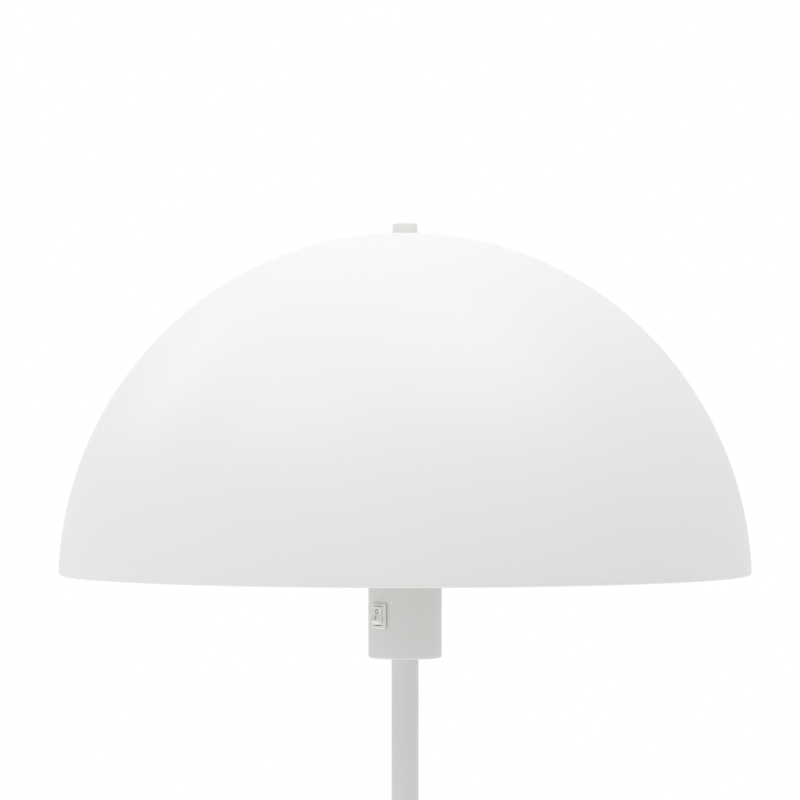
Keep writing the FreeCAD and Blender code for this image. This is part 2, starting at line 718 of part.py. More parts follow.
def make_shade():
    """A spun dome of two tangent arcs, inside and out, from the flat seat to the open curl at the rim.

    The side arc's centre lies beyond the crown arc's, on the line through the join, so that both arcs share
    a tangent there and the side arc reaches the shade's radius on the rim plane. The sheet keeps its thickness
    all round the curl, which ends three quarters of a turn on, short of the wall.
    """
    body = new_sub_part("shade", up=RIM_PLANE)
    beyond = "((shade_radius^2 - crown_radius^2) / (2 * (crown_radius - shade_radius * cos(crown_angle))))"
    side_radius = f"(crown_radius + {beyond})"
    centre = (f"(-{beyond} * cos(crown_angle))", f"(-{beyond} * sin(crown_angle))")
    to_curl = f"({side_radius} - curl_radius)"
    curl_angle = f"asin((curl_radius + {beyond} * sin(crown_angle)) / {to_curl})"
    curl_across = f"({polar(to_curl, curl_angle, *centre)[0]})"
    inner_curl = "(curl_radius - shade_wall)"
    inner_side = f"({side_radius} - shade_wall)"
    inner_crown = "(crown_radius - shade_wall)"
    inner_seat = f"sqrt({inner_crown}^2 - ({SEAT_HEIGHT} - shade_wall)^2)"
    turn(body, [
        line_to("shade_hole_radius", SEAT_HEIGHT),
        line_to("seat_radius", SEAT_HEIGHT),
        right_arc_to(*polar("crown_radius", "crown_angle"), "crown_radius"),
        right_arc_to(*polar(side_radius, curl_angle, *centre), side_radius),
        right_arc_to(curl_across, "0", "curl_radius"),
        right_arc_to(f"{curl_across} - curl_radius", "curl_radius", "curl_radius"),
        right_arc_to(curl_across, "2 * curl_radius", "curl_radius"),
        line_to(curl_across, f"curl_radius + {inner_curl}"),
        left_arc_to(f"{curl_across} - {inner_curl}", "curl_radius", inner_curl),
        left_arc_to(curl_across, "shade_wall", inner_curl),
        left_arc_to(*polar(inner_side, curl_angle, *centre), inner_curl),
        left_arc_to(*polar(inner_crown, "crown_angle"), inner_side),
        left_arc_to(inner_seat, f"{SEAT_HEIGHT} - shade_wall", inner_crown),
        line_to("shade_hole_radius", f"{SEAT_HEIGHT} - shade_wall"),
    ])


def make_finial():
    """The nylon washer on the crown and the knob that presses it down."""
    hole = "(finial_stud_radius + running_gap)"
    ring("finial_washer", hole, "finial_washer_radius", "finial_washer_thick", SEAT_TOP)
    body = new_sub_part("finial_knob", up=f"{SEAT_TOP} + knob_gap")
    recess = "(finial_washer_radius + finial_washer_slack)"
    recess_top = "(finial_washer_thick - knob_gap)"
    turn(body, [
        line_to(recess, "0"),
        line_to("knob_radius", "0"),
        line_to("knob_radius", "knob_height - knob_edge"),
        left_arc_to("knob_radius - knob_edge", "knob_height", "knob_edge"),
        line_to("0", "knob_height"),
        line_to("0", "knob_height - knob_cap"),
        line_to(hole, "knob_height - knob_cap"),
        line_to(hole, recess_top),
        line_to(recess, recess_top),
    ])


# ---------------------------------------------------------------- switch

def make_switch_frame():
    """The snap-in frame: a bezel on the cup, a box behind it with pivot holes, and a latch above and below."""
    body = new_sub_part("switch_frame", along=f"-{SWITCH_FRONT}", up=SWITCH_PLACE)
    bezel = new_sketch(body, "XZ_Plane")
    draw_box(bezel, "bezel_width", "bezel_height")
    pad(body, bezel, "bezel_thick", reverse=True)
    dress_edges("Fillet", body, "bezel_corner",
                lambda middle, edge: abs(middle.y - 0.5 * amount("bezel_thick")) < 1e-6)
    dress_edges("Fillet", body, "bezel_edge", lambda middle, edge: abs(middle.y) < 1e-6)
    box = new_sketch(body, "XZ_Plane")
    draw_box(box, "frame_width", "frame_height")
    pad(body, box, "frame_depth", reverse=True)
    opening = new_sketch(body, "XZ_Plane")
    draw_box(opening, "opening_width", "opening_height")
    cut(body, opening, "frame_depth - frame_back")
    pivot = new_sketch(body, "YZ_Plane")
    draw_circle(pivot, "pin_radius + running_gap", across="pivot_depth")
    cut(body, pivot, "bezel_width", symmetric=True)
    slots = new_sketch(body, "XZ_Plane")
    for side in (-1, 1):
        draw_box(slots, "(blade_width + 2 * running_gap)", "(blade_thick + 2 * running_gap)",
                 up=f"{side} * blade_offset")
    cut(body, slots, "2 * frame_depth")
    catch = f"({SWITCH_FRONT} - {CUP_INSIDE} + 2 * running_gap)"
    for side in (-1, 1):
        latch = new_sketch(body, "YZ_Plane")
        corners = [line_to(catch, f"{side} * 0.5 * frame_height"),
                   line_to(f"{catch} + latch_length", f"{side} * 0.5 * frame_height"),
                   line_to(catch, f"{side} * (0.5 * frame_height + latch_height)")]
        draw_closed(latch, corners)
        pad(body, latch, "latch_width", symmetric=True)


def make_rocker_button():
    """A rocker with two faces that meet in a valley over the pin; its ends stand square to their faces.

    Either face lies parallel to the bezel when its end is pressed. The outline is drawn about the pin with the
    rocker level, and the body is tipped with the upper end pressed.
    """
    body = new_sub_part("rocker_button", along=f"pivot_depth - {SWITCH_FRONT}", up=SWITCH_PLACE)
    valley = "(pivot_depth + valley_height)"
    face = f"({valley} * cos(rocker_throw))"

    def level(out, up):
        """A place on the pressed end, turned back to where it lies with the rocker level."""
        return (f"(-{out} * cos(rocker_throw) - {up} * sin(rocker_throw))",
                f"(-{out} * sin(rocker_throw) + {up} * cos(rocker_throw))")

    tip = level(face, "rocker_half_length")
    heel = level(f"({face} - rocker_end_depth)", "rocker_half_length")
    side = new_sketch(body, "YZ_Plane")
    draw_closed(side, [
        line_to(f"-{valley}", "0"),
        line_to(tip[0], f"-{tip[1]}"),
        line_to(heel[0], f"-{heel[1]}"),
        line_to("keel_depth", "-keel_half_width"),
        line_to("keel_depth", "keel_half_width"),
        line_to(*heel),
        line_to(*tip),
    ])
    pad(body, side, "rocker_width", symmetric=True)
    pins = new_sketch(body, "YZ_Plane")
    draw_circle(pins, "pin_radius")
    pad(body, pins, "pin_length", symmetric=True)
    edge_of_face = amount(f"0.5 * {valley}")
    dress_edges("Fillet", body, "rocker_edge",
                lambda middle, edge: middle.y < -edge_of_face and abs(middle.z) > 0.2)
    body.Placement = FreeCAD.Placement(FreeCAD.Vector(), FreeCAD.Rotation(FreeCAD.Vector(1, 0, 0), -1))
    body.setExpression("Placement.Rotation.Angle", bound("-rocker_throw") + " * 1 deg")


def make_switch_blades():
    """The flat blades that stand out of the frame's back."""
    for name, side in (("live_blade", -1), ("load_blade", 1)):
        body = new_sub_part(name, along=f"frame_depth - frame_back - {SWITCH_FRONT}",
                            up=f"{SWITCH_PLACE} + {side} * blade_offset")
        sketch = new_sketch(body, "XZ_Plane")
        draw_box(sketch, "blade_width", "blade_thick")
        pad(body, sketch, "frame_back + blade_length", reverse=True)


# ---------------------------------------------------------------- bulb

def make_bulb():
    """A globe bulb in five pieces, from its tip upwards."""
    foot = f"({HOLDER_FOOT} + {BULB_TIP})"
    turn(new_sub_part("bulb_contact", up=foot), [
        line_to("0", "0"),
        line_to("tip_radius", "0"),
        line_to("tip_radius", "tip_height"),
        line_to("0", "tip_height"),
    ])
    turn(new_sub_part("bulb_insulator", up=foot), [
        line_to("0", "tip_height"),
        line_to("tip_radius + 0.5", "tip_height"),
        line_to("insulator_radius", "insulator_top"),
        line_to("0", "insulator_top"),
    ])
    turn(new_sub_part("bulb_cap", up=foot), [
        line_to("0", "insulator_top"),
        line_to("bulb_cap_radius - bulb_cap_edge", "insulator_top"),
        line_to("bulb_cap_radius", "insulator_top + bulb_cap_edge"),
        line_to("bulb_cap_radius", "bulb_cap_top"),
        line_to("0", "bulb_cap_top"),
    ])
    below = "(globe_centre - bulb_body_top)"
    shoulder = f"sqrt(globe_radius^2 - {below}^2)"
    turn(new_sub_part("bulb_body", up=foot), [
        line_to("0", "bulb_cap_top"),
        line_to("bulb_neck_radius", "bulb_cap_top"),
        left_arc_to(shoulder, "bulb_body_top", "bulb_body_curve"),
        line_to("0", "bulb_body_top"),
    ])
    inside = "(globe_radius - globe_wall)"
    turn(new_sub_part("bulb_globe", up=foot), [
        right_arc_to(f"sqrt({inside}^2 - {below}^2)", "bulb_body_top", inside),
        line_to(shoulder, "bulb_body_top"),
        left_arc_to("0", "globe_centre + globe_radius", "globe_radius"),
        line_to("0", f"globe_centre + {inside}"),
    ])


# ---------------------------------------------------------------- the lamp

def check_document():
    for thing in document.Objects:
        if any(state in ("Invalid", "Error") for state in thing.State):
            raise ValueError(f"{thing.Label} failed: {thing.State}")
    for body in sub_parts:
        if body.Shape.isNull() or not body.Shape.isValid() or not body.Shape.Solids:
            raise ValueError(f"{body.Label} has no valid solid")


def write_sub_parts():
    os.makedirs("parts", exist_ok=True)
    for body in sub_parts:
        body.Shape.exportStep(f"parts/{body.Label}.step")


fill_sheet()
make_base_pad()
make_base_weight()
make_base_cover()
make_cord_grommet()
make_foot_clamp()
make_pole()
make_switch_housing()
make_head_clamp()
make_holder_bracket()
make_holder_clamp()
make_holder_cap()
make_holder_core()
make_contacts()
make_holder_sleeve()
make_holder_lead()
make_harp()
make_clamp_ring()
make_shade_seat()
make_shade()
make_finial()
make_switch_frame()
make_rocker_button()
make_switch_blades()
make_bulb()
document.recompute()
check_document()
write_sub_parts()
for body in sub_parts:
    box = body.Shape.BoundBox
    print(f"{body.Label:24s} {body.Shape.Volume:12.1f}  x {box.XMin:8.2f} {box.XMax:8.2f}"
          f"  y {box.YMin:8.2f} {box.YMax:8.2f}  z {box.ZMin:8.2f} {box.ZMax:8.2f}")
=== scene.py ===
import json
import math

import bmesh
import bpy
from bpy.props import FloatProperty, FloatVectorProperty, IntProperty, PointerProperty
from bpy.types import Operator, Panel, PropertyGroup
from mathutils import Matrix, Vector


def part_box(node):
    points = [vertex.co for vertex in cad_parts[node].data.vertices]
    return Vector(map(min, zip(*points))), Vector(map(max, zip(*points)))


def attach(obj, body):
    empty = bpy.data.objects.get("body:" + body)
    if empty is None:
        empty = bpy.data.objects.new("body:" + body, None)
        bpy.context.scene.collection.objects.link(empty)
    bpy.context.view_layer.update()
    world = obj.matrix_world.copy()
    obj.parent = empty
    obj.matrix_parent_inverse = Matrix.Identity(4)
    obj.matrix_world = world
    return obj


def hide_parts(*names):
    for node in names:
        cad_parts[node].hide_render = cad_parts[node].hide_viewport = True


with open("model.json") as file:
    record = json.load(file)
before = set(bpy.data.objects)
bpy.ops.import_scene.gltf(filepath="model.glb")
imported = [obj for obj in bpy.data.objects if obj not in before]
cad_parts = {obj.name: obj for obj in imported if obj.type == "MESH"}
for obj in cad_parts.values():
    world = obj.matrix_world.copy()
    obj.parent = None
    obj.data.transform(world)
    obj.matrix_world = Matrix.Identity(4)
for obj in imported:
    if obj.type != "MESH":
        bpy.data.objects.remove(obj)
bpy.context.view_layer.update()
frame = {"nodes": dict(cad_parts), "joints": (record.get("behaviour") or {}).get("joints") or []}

bl_info = {
    "name": "Dome shade floor lamp",
    "version": (1, 0, 0),
    "blender": (4, 5, 0),
    "location": "3D View > Sidebar > Floor Lamp",
    "description": "Dresses the floor lamp's frame with its enamelled, moulded and threaded pieces",
    "category": "Object",
}

MM = 0.001
# Points nearer than this are one point.
NEAR = 1e-6
# Height of a fine thread's ridge as a share of its pitch
RIDGE_SHARE = 0.28


def low(node):
    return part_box(node)[0]


def high(node):
    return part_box(node)[1]


def extent(node):
    """The lowest and highest level of a round node, and its radius."""
    return low(node).z, high(node).z, high(node).x


# ---------------------------------------------------------------- sizes and colours

def length(name, description, default):
    return FloatProperty(name=name, description=description, default=default, min=0, precision=5,
                         subtype="DISTANCE", unit="LENGTH")


def angle(name, description, default):
    return FloatProperty(name=name, description=description, default=math.radians(default),
                         subtype="ANGLE", unit="ROTATION")


def colour(name, description, default):
    return FloatVectorProperty(name=name, description=description, default=default, size=3,
                               min=0, max=1, subtype="COLOR")


class LAMP_PG_shade(PropertyGroup):
    rim_plane: length("Rim plane", "Height of the shade's lowest edge", low("shade").z)
    wall: length("Sheet", "Thickness of the spun sheet", 0.8 * MM)
    radius: length("Rim radius", "Radius of the side arc on the rim plane", 205 * MM)
    crown_radius: length("Crown radius", "Radius of the upper arc", 202.5 * MM)
    crown_angle: angle("Crown angle", "Where the crown arc runs into the side arc, above the rim plane", 46)
    seat_radius: length("Seat radius", "Flat under the knob", 9 * MM)
    hole_radius: length("Hole radius", "Hole for the stud", 5 * MM)
    curl_radius: length("Curl radius", "Outer radius of the curled edge", 1.5 * MM)
    segments: IntProperty(name="Segments", description="Steps round the dome", default=192, min=24)


class LAMP_PG_knob(PropertyGroup):
    edge: length("Edge", "Rounding of the knob's upper edge", 0.8 * MM)
    recess_radius: length("Recess radius", "Recess that holds the washer", 6.4 * MM)
    recess_depth: length("Recess depth", "Depth of the washer's recess", 0.85 * MM)
    bore_radius: length("Bore radius", "Threaded bore", 3.05 * MM)
    cap: length("Cap", "Solid metal over the bore", 1 * MM)


class LAMP_PG_pole(PropertyGroup):
    wall: length("Wall", "Wall of the pole's tubes", 1.2 * MM)
    edge: length("Edge", "Broken edge at each joint", 0.25 * MM)
    pitch: length("Stud pitch", "Thread pitch of the joining studs", 1 * MM)


class LAMP_PG_head(PropertyGroup):
    wall: length("Cup wall", "Wall of the switch housing", 1.2 * MM)
    edge: length("Cup edge", "Rounding of the cup's lower edge", 1.4 * MM)
    hole_radius: length("Floor hole", "Hole for the pole's stud", 5.05 * MM)
    switch_height: length("Switch height", "Middle of the switch above the cup's floor", 25.5 * MM)
    cutout_half_height: length("Cut-out half height", "Half the height of the switch's cut-out", 6.6 * MM)
    cutout_half_angle: angle("Cut-out half angle", "Half the angle that the switch's cut-out takes", 12.6)
    ribs: IntProperty(name="Ribs", description="Grip ribs round the clamp ring", default=48, min=3)
    rib_radius: length("Rib radius", "Radius of one grip rib", 0.7 * MM)
    ring_pitch: length("Ring pitch", "Thread pitch of the lampholder's sleeve", 2 * MM)


class LAMP_PG_switch(PropertyGroup):
    cad_edge: length("Plain edge", "Rounding of the bezel's outer edge in the frame", 0.4 * MM)
    edge: length("Soft edge", "Rounding of the bezel's outer edge as moulded", 0.75 * MM)
    corner: length("Corner", "Radius of the bezel's corners", 0.8 * MM)
    opening: length("Opening", "Half the width of the bezel's opening", 3.4 * MM)
    lip: length("Lip", "How far the opening's front edge reaches towards the rocker", 0.1 * MM)
    ring_radius: length("Ring radius", "Outer radius of the off mark", 1.35 * MM)
    ring_height: length("Ring height", "Middle of the off mark above the switch's middle", 2.7 * MM)
    line_width: length("Line width", "Line width of both marks", 0.42 * MM)
    dash_length: length("Dash length", "Length of the on mark", 2.6 * MM)
    dash_place: length("Dash place", "Middle of the on mark along the lower face, from the valley", 2.35 * MM)
    valley_reach: length("Valley", "From the pin to the valley between the faces", 3.95 * MM)
    throw: angle("Throw", "How far either face leans on a level rocker", 15.5)
    ink_thick: length("Ink", "Thickness of the printed marks", 0.02 * MM)
    ink: colour("Ink", "Colour of both marks", (0.07, 0.07, 0.068))


class LAMP_PG_base(PropertyGroup):
    wall: length("Cover wall", "Thickness of the spun cover", 1 * MM)
    edge: length("Cover edge", "Rounding of the cover's upper edge", 4 * MM)
    hole_radius: length("Inlet hole", "Hole for the cord's grommet", 4 * MM)
    inlet_height: length("Inlet height", "Middle of the inlet above the floor", 8 * MM)


class LAMP_PG_stage(PropertyGroup):
    floor_radius: length("Floor radius", "Radius of the round floor", 3.5)
    backdrop: colour("Backdrop", "Colour behind the lamp", (1, 1, 1))
    glow: FloatProperty(name="Floor glow", description="Strength of the light that the pale floor sends up",
                        default=0.320, min=0)
    ambient: FloatProperty(name="Ambient", description="Strength of the light from all round",
                           default=0.724, min=0)
    lens: FloatProperty(name="Lens", description="Focal length in millimetres", default=135, min=1)
    distance: length("Camera distance", "From the pole's axis to the camera", 1.787)
    height: length("Camera height", "Camera above the floor", 1.258)
    azimuth: angle("Camera azimuth", "Turn of the camera from the switch's side to the right", 43)
    pitch: angle("Camera pitch", "Upward tilt of the camera", 1.129)
    yaw: angle("Camera yaw", "Turn of the camera to the left, off the pole's axis", 0.096)


class LAMP_PG_finish(PropertyGroup):
    enamel: colour("Enamel", "Colour of the painted shade, knob and base", (0.80, 0.80, 0.785))
    # A darker copy of the shade's enamel: painted shade that stands for the dome's shadow on the pole and
    # switch housing.
    stem_enamel: colour("Stem enamel", "Colour of the painted pole and switch housing", (0.75, 0.75, 0.738))
    switch: colour("Switch", "Colour of the moulded switch", (0.82, 0.82, 0.80))
    zinc: colour("Zinc", "Colour of the plated steel", (0.62, 0.62, 0.60))
    brass: colour("Brass", "Colour of the contacts", (0.78, 0.58, 0.28))
    rubber: colour("Rubber", "Colour of the pad and the grommet", (0.035, 0.035, 0.037))
    holder: colour("Holder", "Colour of the lampholder's plastic", (0.72, 0.71, 0.68))


trees = {}
groups = {}
finishes = {}


# ---------------------------------------------------------------- nodes

def place(tree, kind, sockets=None, **settings):
    """Adds a node; a socket is given a plain value or the output that feeds it."""
    node = tree.nodes.new(kind)
    for name, value in settings.items():
        setattr(node, name, value)
    for name, value in (sockets or {}).items():
        if isinstance(value, bpy.types.NodeSocket):
            tree.links.new(value, node.inputs[name])
        else:
            node.inputs[name].default_value = value
    return node


def new_group(name, kind, inputs, outputs):
    """A node group with named sockets, the sockets that it is given and those of its result."""
    tree = bpy.data.node_groups.new(name, kind)
    for side, sockets in (("INPUT", inputs), ("OUTPUT", outputs)):
        for label, socket_type, *default in sockets:
            socket = tree.interface.new_socket(label, in_out=side, socket_type=socket_type)
            if default:
                socket.default_value = default[0]
    return tree, tree.nodes.new("NodeGroupInput").outputs, tree.nodes.new("NodeGroupOutput").inputs


def sharpen(mesh, degrees=30):
    """Smooth shading, with a crease where two faces turn by more than the angle."""
    for polygon in mesh.polygons:
        polygon.use_smooth = True
    mesh.set_sharp_from_angle(angle=math.radians(degrees))


def new_object(name, mesh):
    piece = bpy.data.objects.new(name, mesh)
    bpy.context.scene.collection.objects.link(piece)
    return piece


def grow(piece, tree, **values):
    """Runs a geometry tree on the piece and keeps the result as its plain mesh."""
    modifier = piece.modifiers.new(tree.name, "NODES")
    modifier.node_group = tree
    wanted = {name.replace("_", " "): value for name, value in values.items()}
    for item in tree.interface.items_tree:
        if item.item_type == "SOCKET" and item.in_out == "INPUT" and item.name.lower() in wanted:
            modifier[item.identifier] = wanted.pop(item.name.lower())
    if wanted:
        raise ValueError(f"{tree.name} has no input {sorted(wanted)}")
    bpy.context.view_layer.update()
    evaluated = piece.evaluated_get(bpy.context.evaluated_depsgraph_get())
    mesh = bpy.data.meshes.new_from_object(evaluated)
    piece.modifiers.remove(modifier)
    plain = piece.data
    piece.data = mesh
    bpy.data.meshes.remove(plain)
    mesh.name = piece.name
    if not mesh.polygons:
        raise ValueError(f"{piece.name} came out empty")
    return piece


def join(name, pieces):
    """One object out of several; the meshes keep their materials."""
    with bpy.context.temp_override(active_object=pieces[0], selected_editable_objects=pieces):
        bpy.ops.object.join()
    pieces[0].name = name
    pieces[0].data.name = name
    return pieces[0]


# ---------------------------------------------------------------- geometry trees

def geometry_group(name, inputs):
    """A geometry tree that takes a geometry, the named inputs and a material."""
    return new_group(name, "GeometryNodeTree", [
        ("Geometry", "NodeSocketGeometry"), *inputs, ("Material", "NodeSocketMaterial"),
    ], [("Geometry", "NodeSocketGeometry")])


def give_out(tree, given, result, geometry):
    """Ends a geometry tree: plain geometry in the material that it was given."""
    plain = place(tree, "GeometryNodeRealizeInstances", {"Geometry": geometry})
    coated = place(tree, "GeometryNodeSetMaterial", {
        "Geometry": plain.outputs["Geometry"], "Material": given["Material"]})
    tree.links.new(coated.outputs["Geometry"], result["Geometry"])
    return tree


def turning_tree():
    """Turns the piece's outline, drawn in XZ, once round the Z axis."""
    tree, given, result = geometry_group("Turned form", [
        ("Segments", "NodeSocketInt", 96),
    ])
    reach = 1.0
    seam = 2e-6
    outline = place(tree, "GeometryNodeMeshToCurve", {"Mesh": given["Geometry"]})
    upright = place(tree, "GeometryNodeTransform", {
        "Geometry": outline.outputs["Curve"], "Rotation": (math.pi / 2, 0, 0), "Translation": (-reach, 0, 0)})
    path = place(tree, "GeometryNodeCurvePrimitiveCircle", {
        "Resolution": given["Segments"], "Radius": reach}, mode="RADIUS")
    sweep = place(tree, "GeometryNodeCurveToMesh", {
        "Curve": path.outputs["Curve"], "Profile Curve": upright.outputs["Geometry"]})
    merged = place(tree, "GeometryNodeMergeByDistance", {
        "Geometry": sweep.outputs["Mesh"], "Distance": seam})
    return give_out(tree, given, result, merged.outputs["Geometry"])


def thread_tree():
    """A rounded ridge that climbs round the Z axis."""
    tree, given, result = geometry_group("Screw thread", [
        ("Radius", "NodeSocketFloat", 5 * MM),
        ("Pitch", "NodeSocketFloat", 1 * MM),
        ("Turns", "NodeSocketFloat", 5),
        ("Foot", "NodeSocketFloat", 0),
        ("Ridge", "NodeSocketFloat", 0.3 * MM),
        ("Steps", "NodeSocketInt", 32),
    ])
    climb = place(tree, "ShaderNodeMath", {
        0: given["Pitch"], 1: given["Turns"]}, operation="MULTIPLY")
    helix = place(tree, "GeometryNodeCurveSpiral", {
        "Resolution": given["Steps"], "Rotations": given["Turns"],
        "Start Radius": given["Radius"], "End Radius": given["Radius"],
        "Height": climb.outputs[0]})
    lift = place(tree, "ShaderNodeCombineXYZ", {"Z": given["Foot"]})
    raised = place(tree, "GeometryNodeTransform", {
        "Geometry": helix.outputs["Curve"], "Translation": lift.outputs["Vector"]})
    ridge = place(tree, "GeometryNodeCurvePrimitiveCircle", {
        "Resolution": 8, "Radius": given["Ridge"]}, mode="RADIUS")
    sweep = place(tree, "GeometryNodeCurveToMesh", {
        "Curve": raised.outputs["Geometry"], "Profile Curve": ridge.outputs["Curve"], "Fill Caps": True})
    return give_out(tree, given, result, sweep.outputs["Mesh"])


def strip_tree():
    """A flat strip with eased edges, bent along the piece's outline; its width lies along Y."""
    tree, given, result = geometry_group("Bent strip", [
        ("Width", "NodeSocketFloat", 12 * MM),
        ("Thickness", "NodeSocketFloat", 2 * MM),
        ("Edge", "NodeSocketFloat", 0.4 * MM),
    ])
    path = place(tree, "GeometryNodeMeshToCurve", {"Mesh": given["Geometry"]})
    section = place(tree, "GeometryNodeCurvePrimitiveQuadrilateral", {
        "Width": given["Width"], "Height": given["Thickness"]}, mode="RECTANGLE")
    rounded = place(tree, "GeometryNodeFilletCurve", {
        "Curve": section.outputs["Curve"], "Count": 3, "Radius": given["Edge"]}, mode="POLY")
    sweep = place(tree, "GeometryNodeCurveToMesh", {
        "Curve": path.outputs["Curve"], "Profile Curve": rounded.outputs["Curve"], "Fill Caps": True})
    return give_out(tree, given, result, sweep.outputs["Mesh"])


def rib_tree():
    """Upright half-round ribs, evenly spaced on a circle, for fingers to grip."""
    tree, given, result = geometry_group("Grip ribs", [
        ("Radius", "NodeSocketFloat", 25 * MM),
        ("Count", "NodeSocketInt", 48),
        ("Rib radius", "NodeSocketFloat", 0.7 * MM),
        ("Rib height", "NodeSocketFloat", 6 * MM),
        ("Middle", "NodeSocketFloat", 0),
    ])
    circle = place(tree, "GeometryNodeMeshCircle", {
        "Vertices": given["Count"], "Radius": given["Radius"]})
    lift = place(tree, "ShaderNodeCombineXYZ", {"Z": given["Middle"]})
    raised = place(tree, "GeometryNodeTransform", {
        "Geometry": circle.outputs["Mesh"], "Translation": lift.outputs["Vector"]})
    rib = place(tree, "GeometryNodeMeshCylinder", {
        "Vertices": 12, "Side Segments": 1, "Radius": given["Rib radius"],
        "Depth": given["Rib height"]})
    copies = place(tree, "GeometryNodeInstanceOnPoints", {
        "Points": raised.outputs["Geometry"], "Instance": rib.outputs["Mesh"]})
    return give_out(tree, given, result, copies.outputs["Instances"])


# ---------------------------------------------------------------- outlines

def arc(across, up, radius, start, end, steps):
    """Points of an arc about a centre, from one angle in degrees to another, both ends included."""
    turns = [math.radians(start + (end - start) * step / steps) for step in range(steps + 1)]
    return [(across + radius * math.cos(turn), up + radius * math.sin(turn)) for turn in turns]


def eased(corners, steps=5):
    """The closed outline through the corners (across, up, rounding), with each corner rounded."""
    points = []
    for index, (across, up, rounding) in enumerate(corners):
        here = Vector((across, up))
        if rounding == 0:
            points.append((across, up))
            continue
        before = (Vector(corners[index - 1][:2]) - here).normalized()
        after = (Vector(corners[(index + 1) % len(corners)][:2]) - here).normalized()
        half = before.angle(after) / 2
        centre = here + (before + after).normalized() * (rounding / math.sin(half))
        first = here + before * (rounding / math.tan(half)) - centre
        last = here + after * (rounding / math.tan(half)) - centre
        for step in range(steps + 1):
            spoke = first.slerp(last, step / steps)
            points.append(tuple(centre + spoke.normalized() * rounding))
    return points


def turned(name, outline, material, segments=96, closed=True):
    """A piece of revolution from an outline of (radius, height) points."""
    mesh = bpy.data.meshes.new(name)
    edges = [(index, index + 1) for index in range(len(outline) - 1)]
    if closed:
        edges.append((len(outline) - 1, 0))
    mesh.from_pydata([(across, 0, up) for across, up in outline], edges, [])
    piece = grow(new_object(name, mesh), trees["turned"], segments=segments, material=material)
    outward(piece.data)
    sharpen(piece.data)
    return piece


def threaded(name, core, ridge, pitch, foot, top, finish, steps=24):
    """A helical ridge round the Z axis from one height to another."""
    turns = (top - foot - 2 * ridge) / pitch
    piece = grow(new_object(name, bpy.data.meshes.new(name)), trees["thread"], radius=core, pitch=pitch,
                 turns=turns, foot=foot + ridge, ridge=ridge, steps=steps, material=finishes[finish])
    sharpen(piece.data, 60)
    return piece


def weld(mesh):
    """Makes one vertex of those that lie on the same spot."""
    shell = bmesh.new()
    shell.from_mesh(mesh)
    bmesh.ops.remove_doubles(shell, verts=shell.verts, dist=NEAR)
    shell.to_mesh(mesh)
    shell.free()


def outward(mesh):
    """Turns every face outwards."""
    shell = bmesh.new()
    shell.from_mesh(mesh)
    bmesh.ops.recalc_face_normals(shell, faces=shell.faces)
    shell.to_mesh(mesh)
    shell.free()


def slab(name, outline, thick, material):
    """A thin flat piece on the XY plane."""
    mesh = bpy.data.meshes.new(name)
    count = len(outline)
    points = [(across, up, level) for level in (0, thick) for across, up in outline]
    sides = [(step, (step + 1) % count, (step + 1) % count + count, step + count) for step in range(count)]
    mesh.from_pydata(points, [], sides + [tuple(range(count)), tuple(range(count, 2 * count))])
    mesh.materials.append(material)
    outward(mesh)
    sharpen(mesh)
    return new_object(name, mesh)


def stand_on(piece, origin, along, up):
    """Moves a mesh drawn on XY to a plane through the origin, with its X and Y along the two directions."""
    matrix = Matrix.Identity(4)
    for column, axis in enumerate((along, up, along.cross(up), origin)):
        for row in range(3):
            matrix[row][column] = axis[row]
    piece.data.transform(matrix)


def open_window(mesh, facing, half_angle, bottom, top, hole=None):
    """Opens a window through a turned wall and closes the wall's thickness round it.

    With a hole, given as (radius, height), the window is filled in again up to that round hole.
    """
    shell = bmesh.new()
    shell.from_mesh(mesh)
    middle = Vector((math.cos(facing), math.sin(facing)))
    across = Vector((-middle.y, middle.x))

    def aside(vector):
        return middle.angle_signed(vector.xy.normalized())

    def in_window(face):
        spot = face.calc_center_median()
        return bottom < spot.z < top and abs(aside(spot)) < half_angle

    bmesh.ops.delete(shell, geom=[face for face in shell.faces if in_window(face)], context="FACES")
    rims = [edge for edge in shell.edges if edge.is_boundary]
    wall_radii = sorted({round(edge.verts[0].co.xy.length, 5) for edge in rims})
    on_wall = 1e-4
    inner, outer = ([edge for edge in rims if abs(edge.verts[0].co.xy.length - radius) < on_wall]
                    for radius in wall_radii)
    if hole:
        hole_radius, height = hole
        steps = 24
        for radius, rim in zip(wall_radii, (inner, outer)):
            ring = []
            for step in range(steps):
                out = hole_radius * math.cos(math.tau * step / steps)
                spot = middle * math.sqrt(radius ** 2 - out ** 2) + across * out
                up = height + hole_radius * math.sin(math.tau * step / steps)
                ring.append(shell.verts.new((*spot, up)))
            circle = [shell.edges.new((ring[step - 1], ring[step])) for step in range(steps)]
            bmesh.ops.bridge_loops(shell, edges=rim + circle)
            rim[:] = circle
        for inside, outside in zip(inner, outer):
            shell.faces.new((*outside.verts, *reversed(inside.verts)))
    else:
        def corner(vertex):
            return round(aside(vertex.co), 3), round(vertex.co.z, 5)

        twins = {corner(vertex): vertex for edge in inner for vertex in edge.verts}
        for edge in outer:
            first, last = edge.verts
            shell.faces.new((first, last, twins[corner(last)], twins[corner(first)]))
    bmesh.ops.recalc_face_normals(shell, faces=shell.faces)
    shell.to_mesh(mesh)
    shell.free()


def settle(piece, body, slot, *nodes):
    """The piece rides on its body and stands for the nodes, which it hides. The slot is not used."""
    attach(piece, body)
    if nodes:
        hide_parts(*nodes)


# ---------------------------------------------------------------- finishes

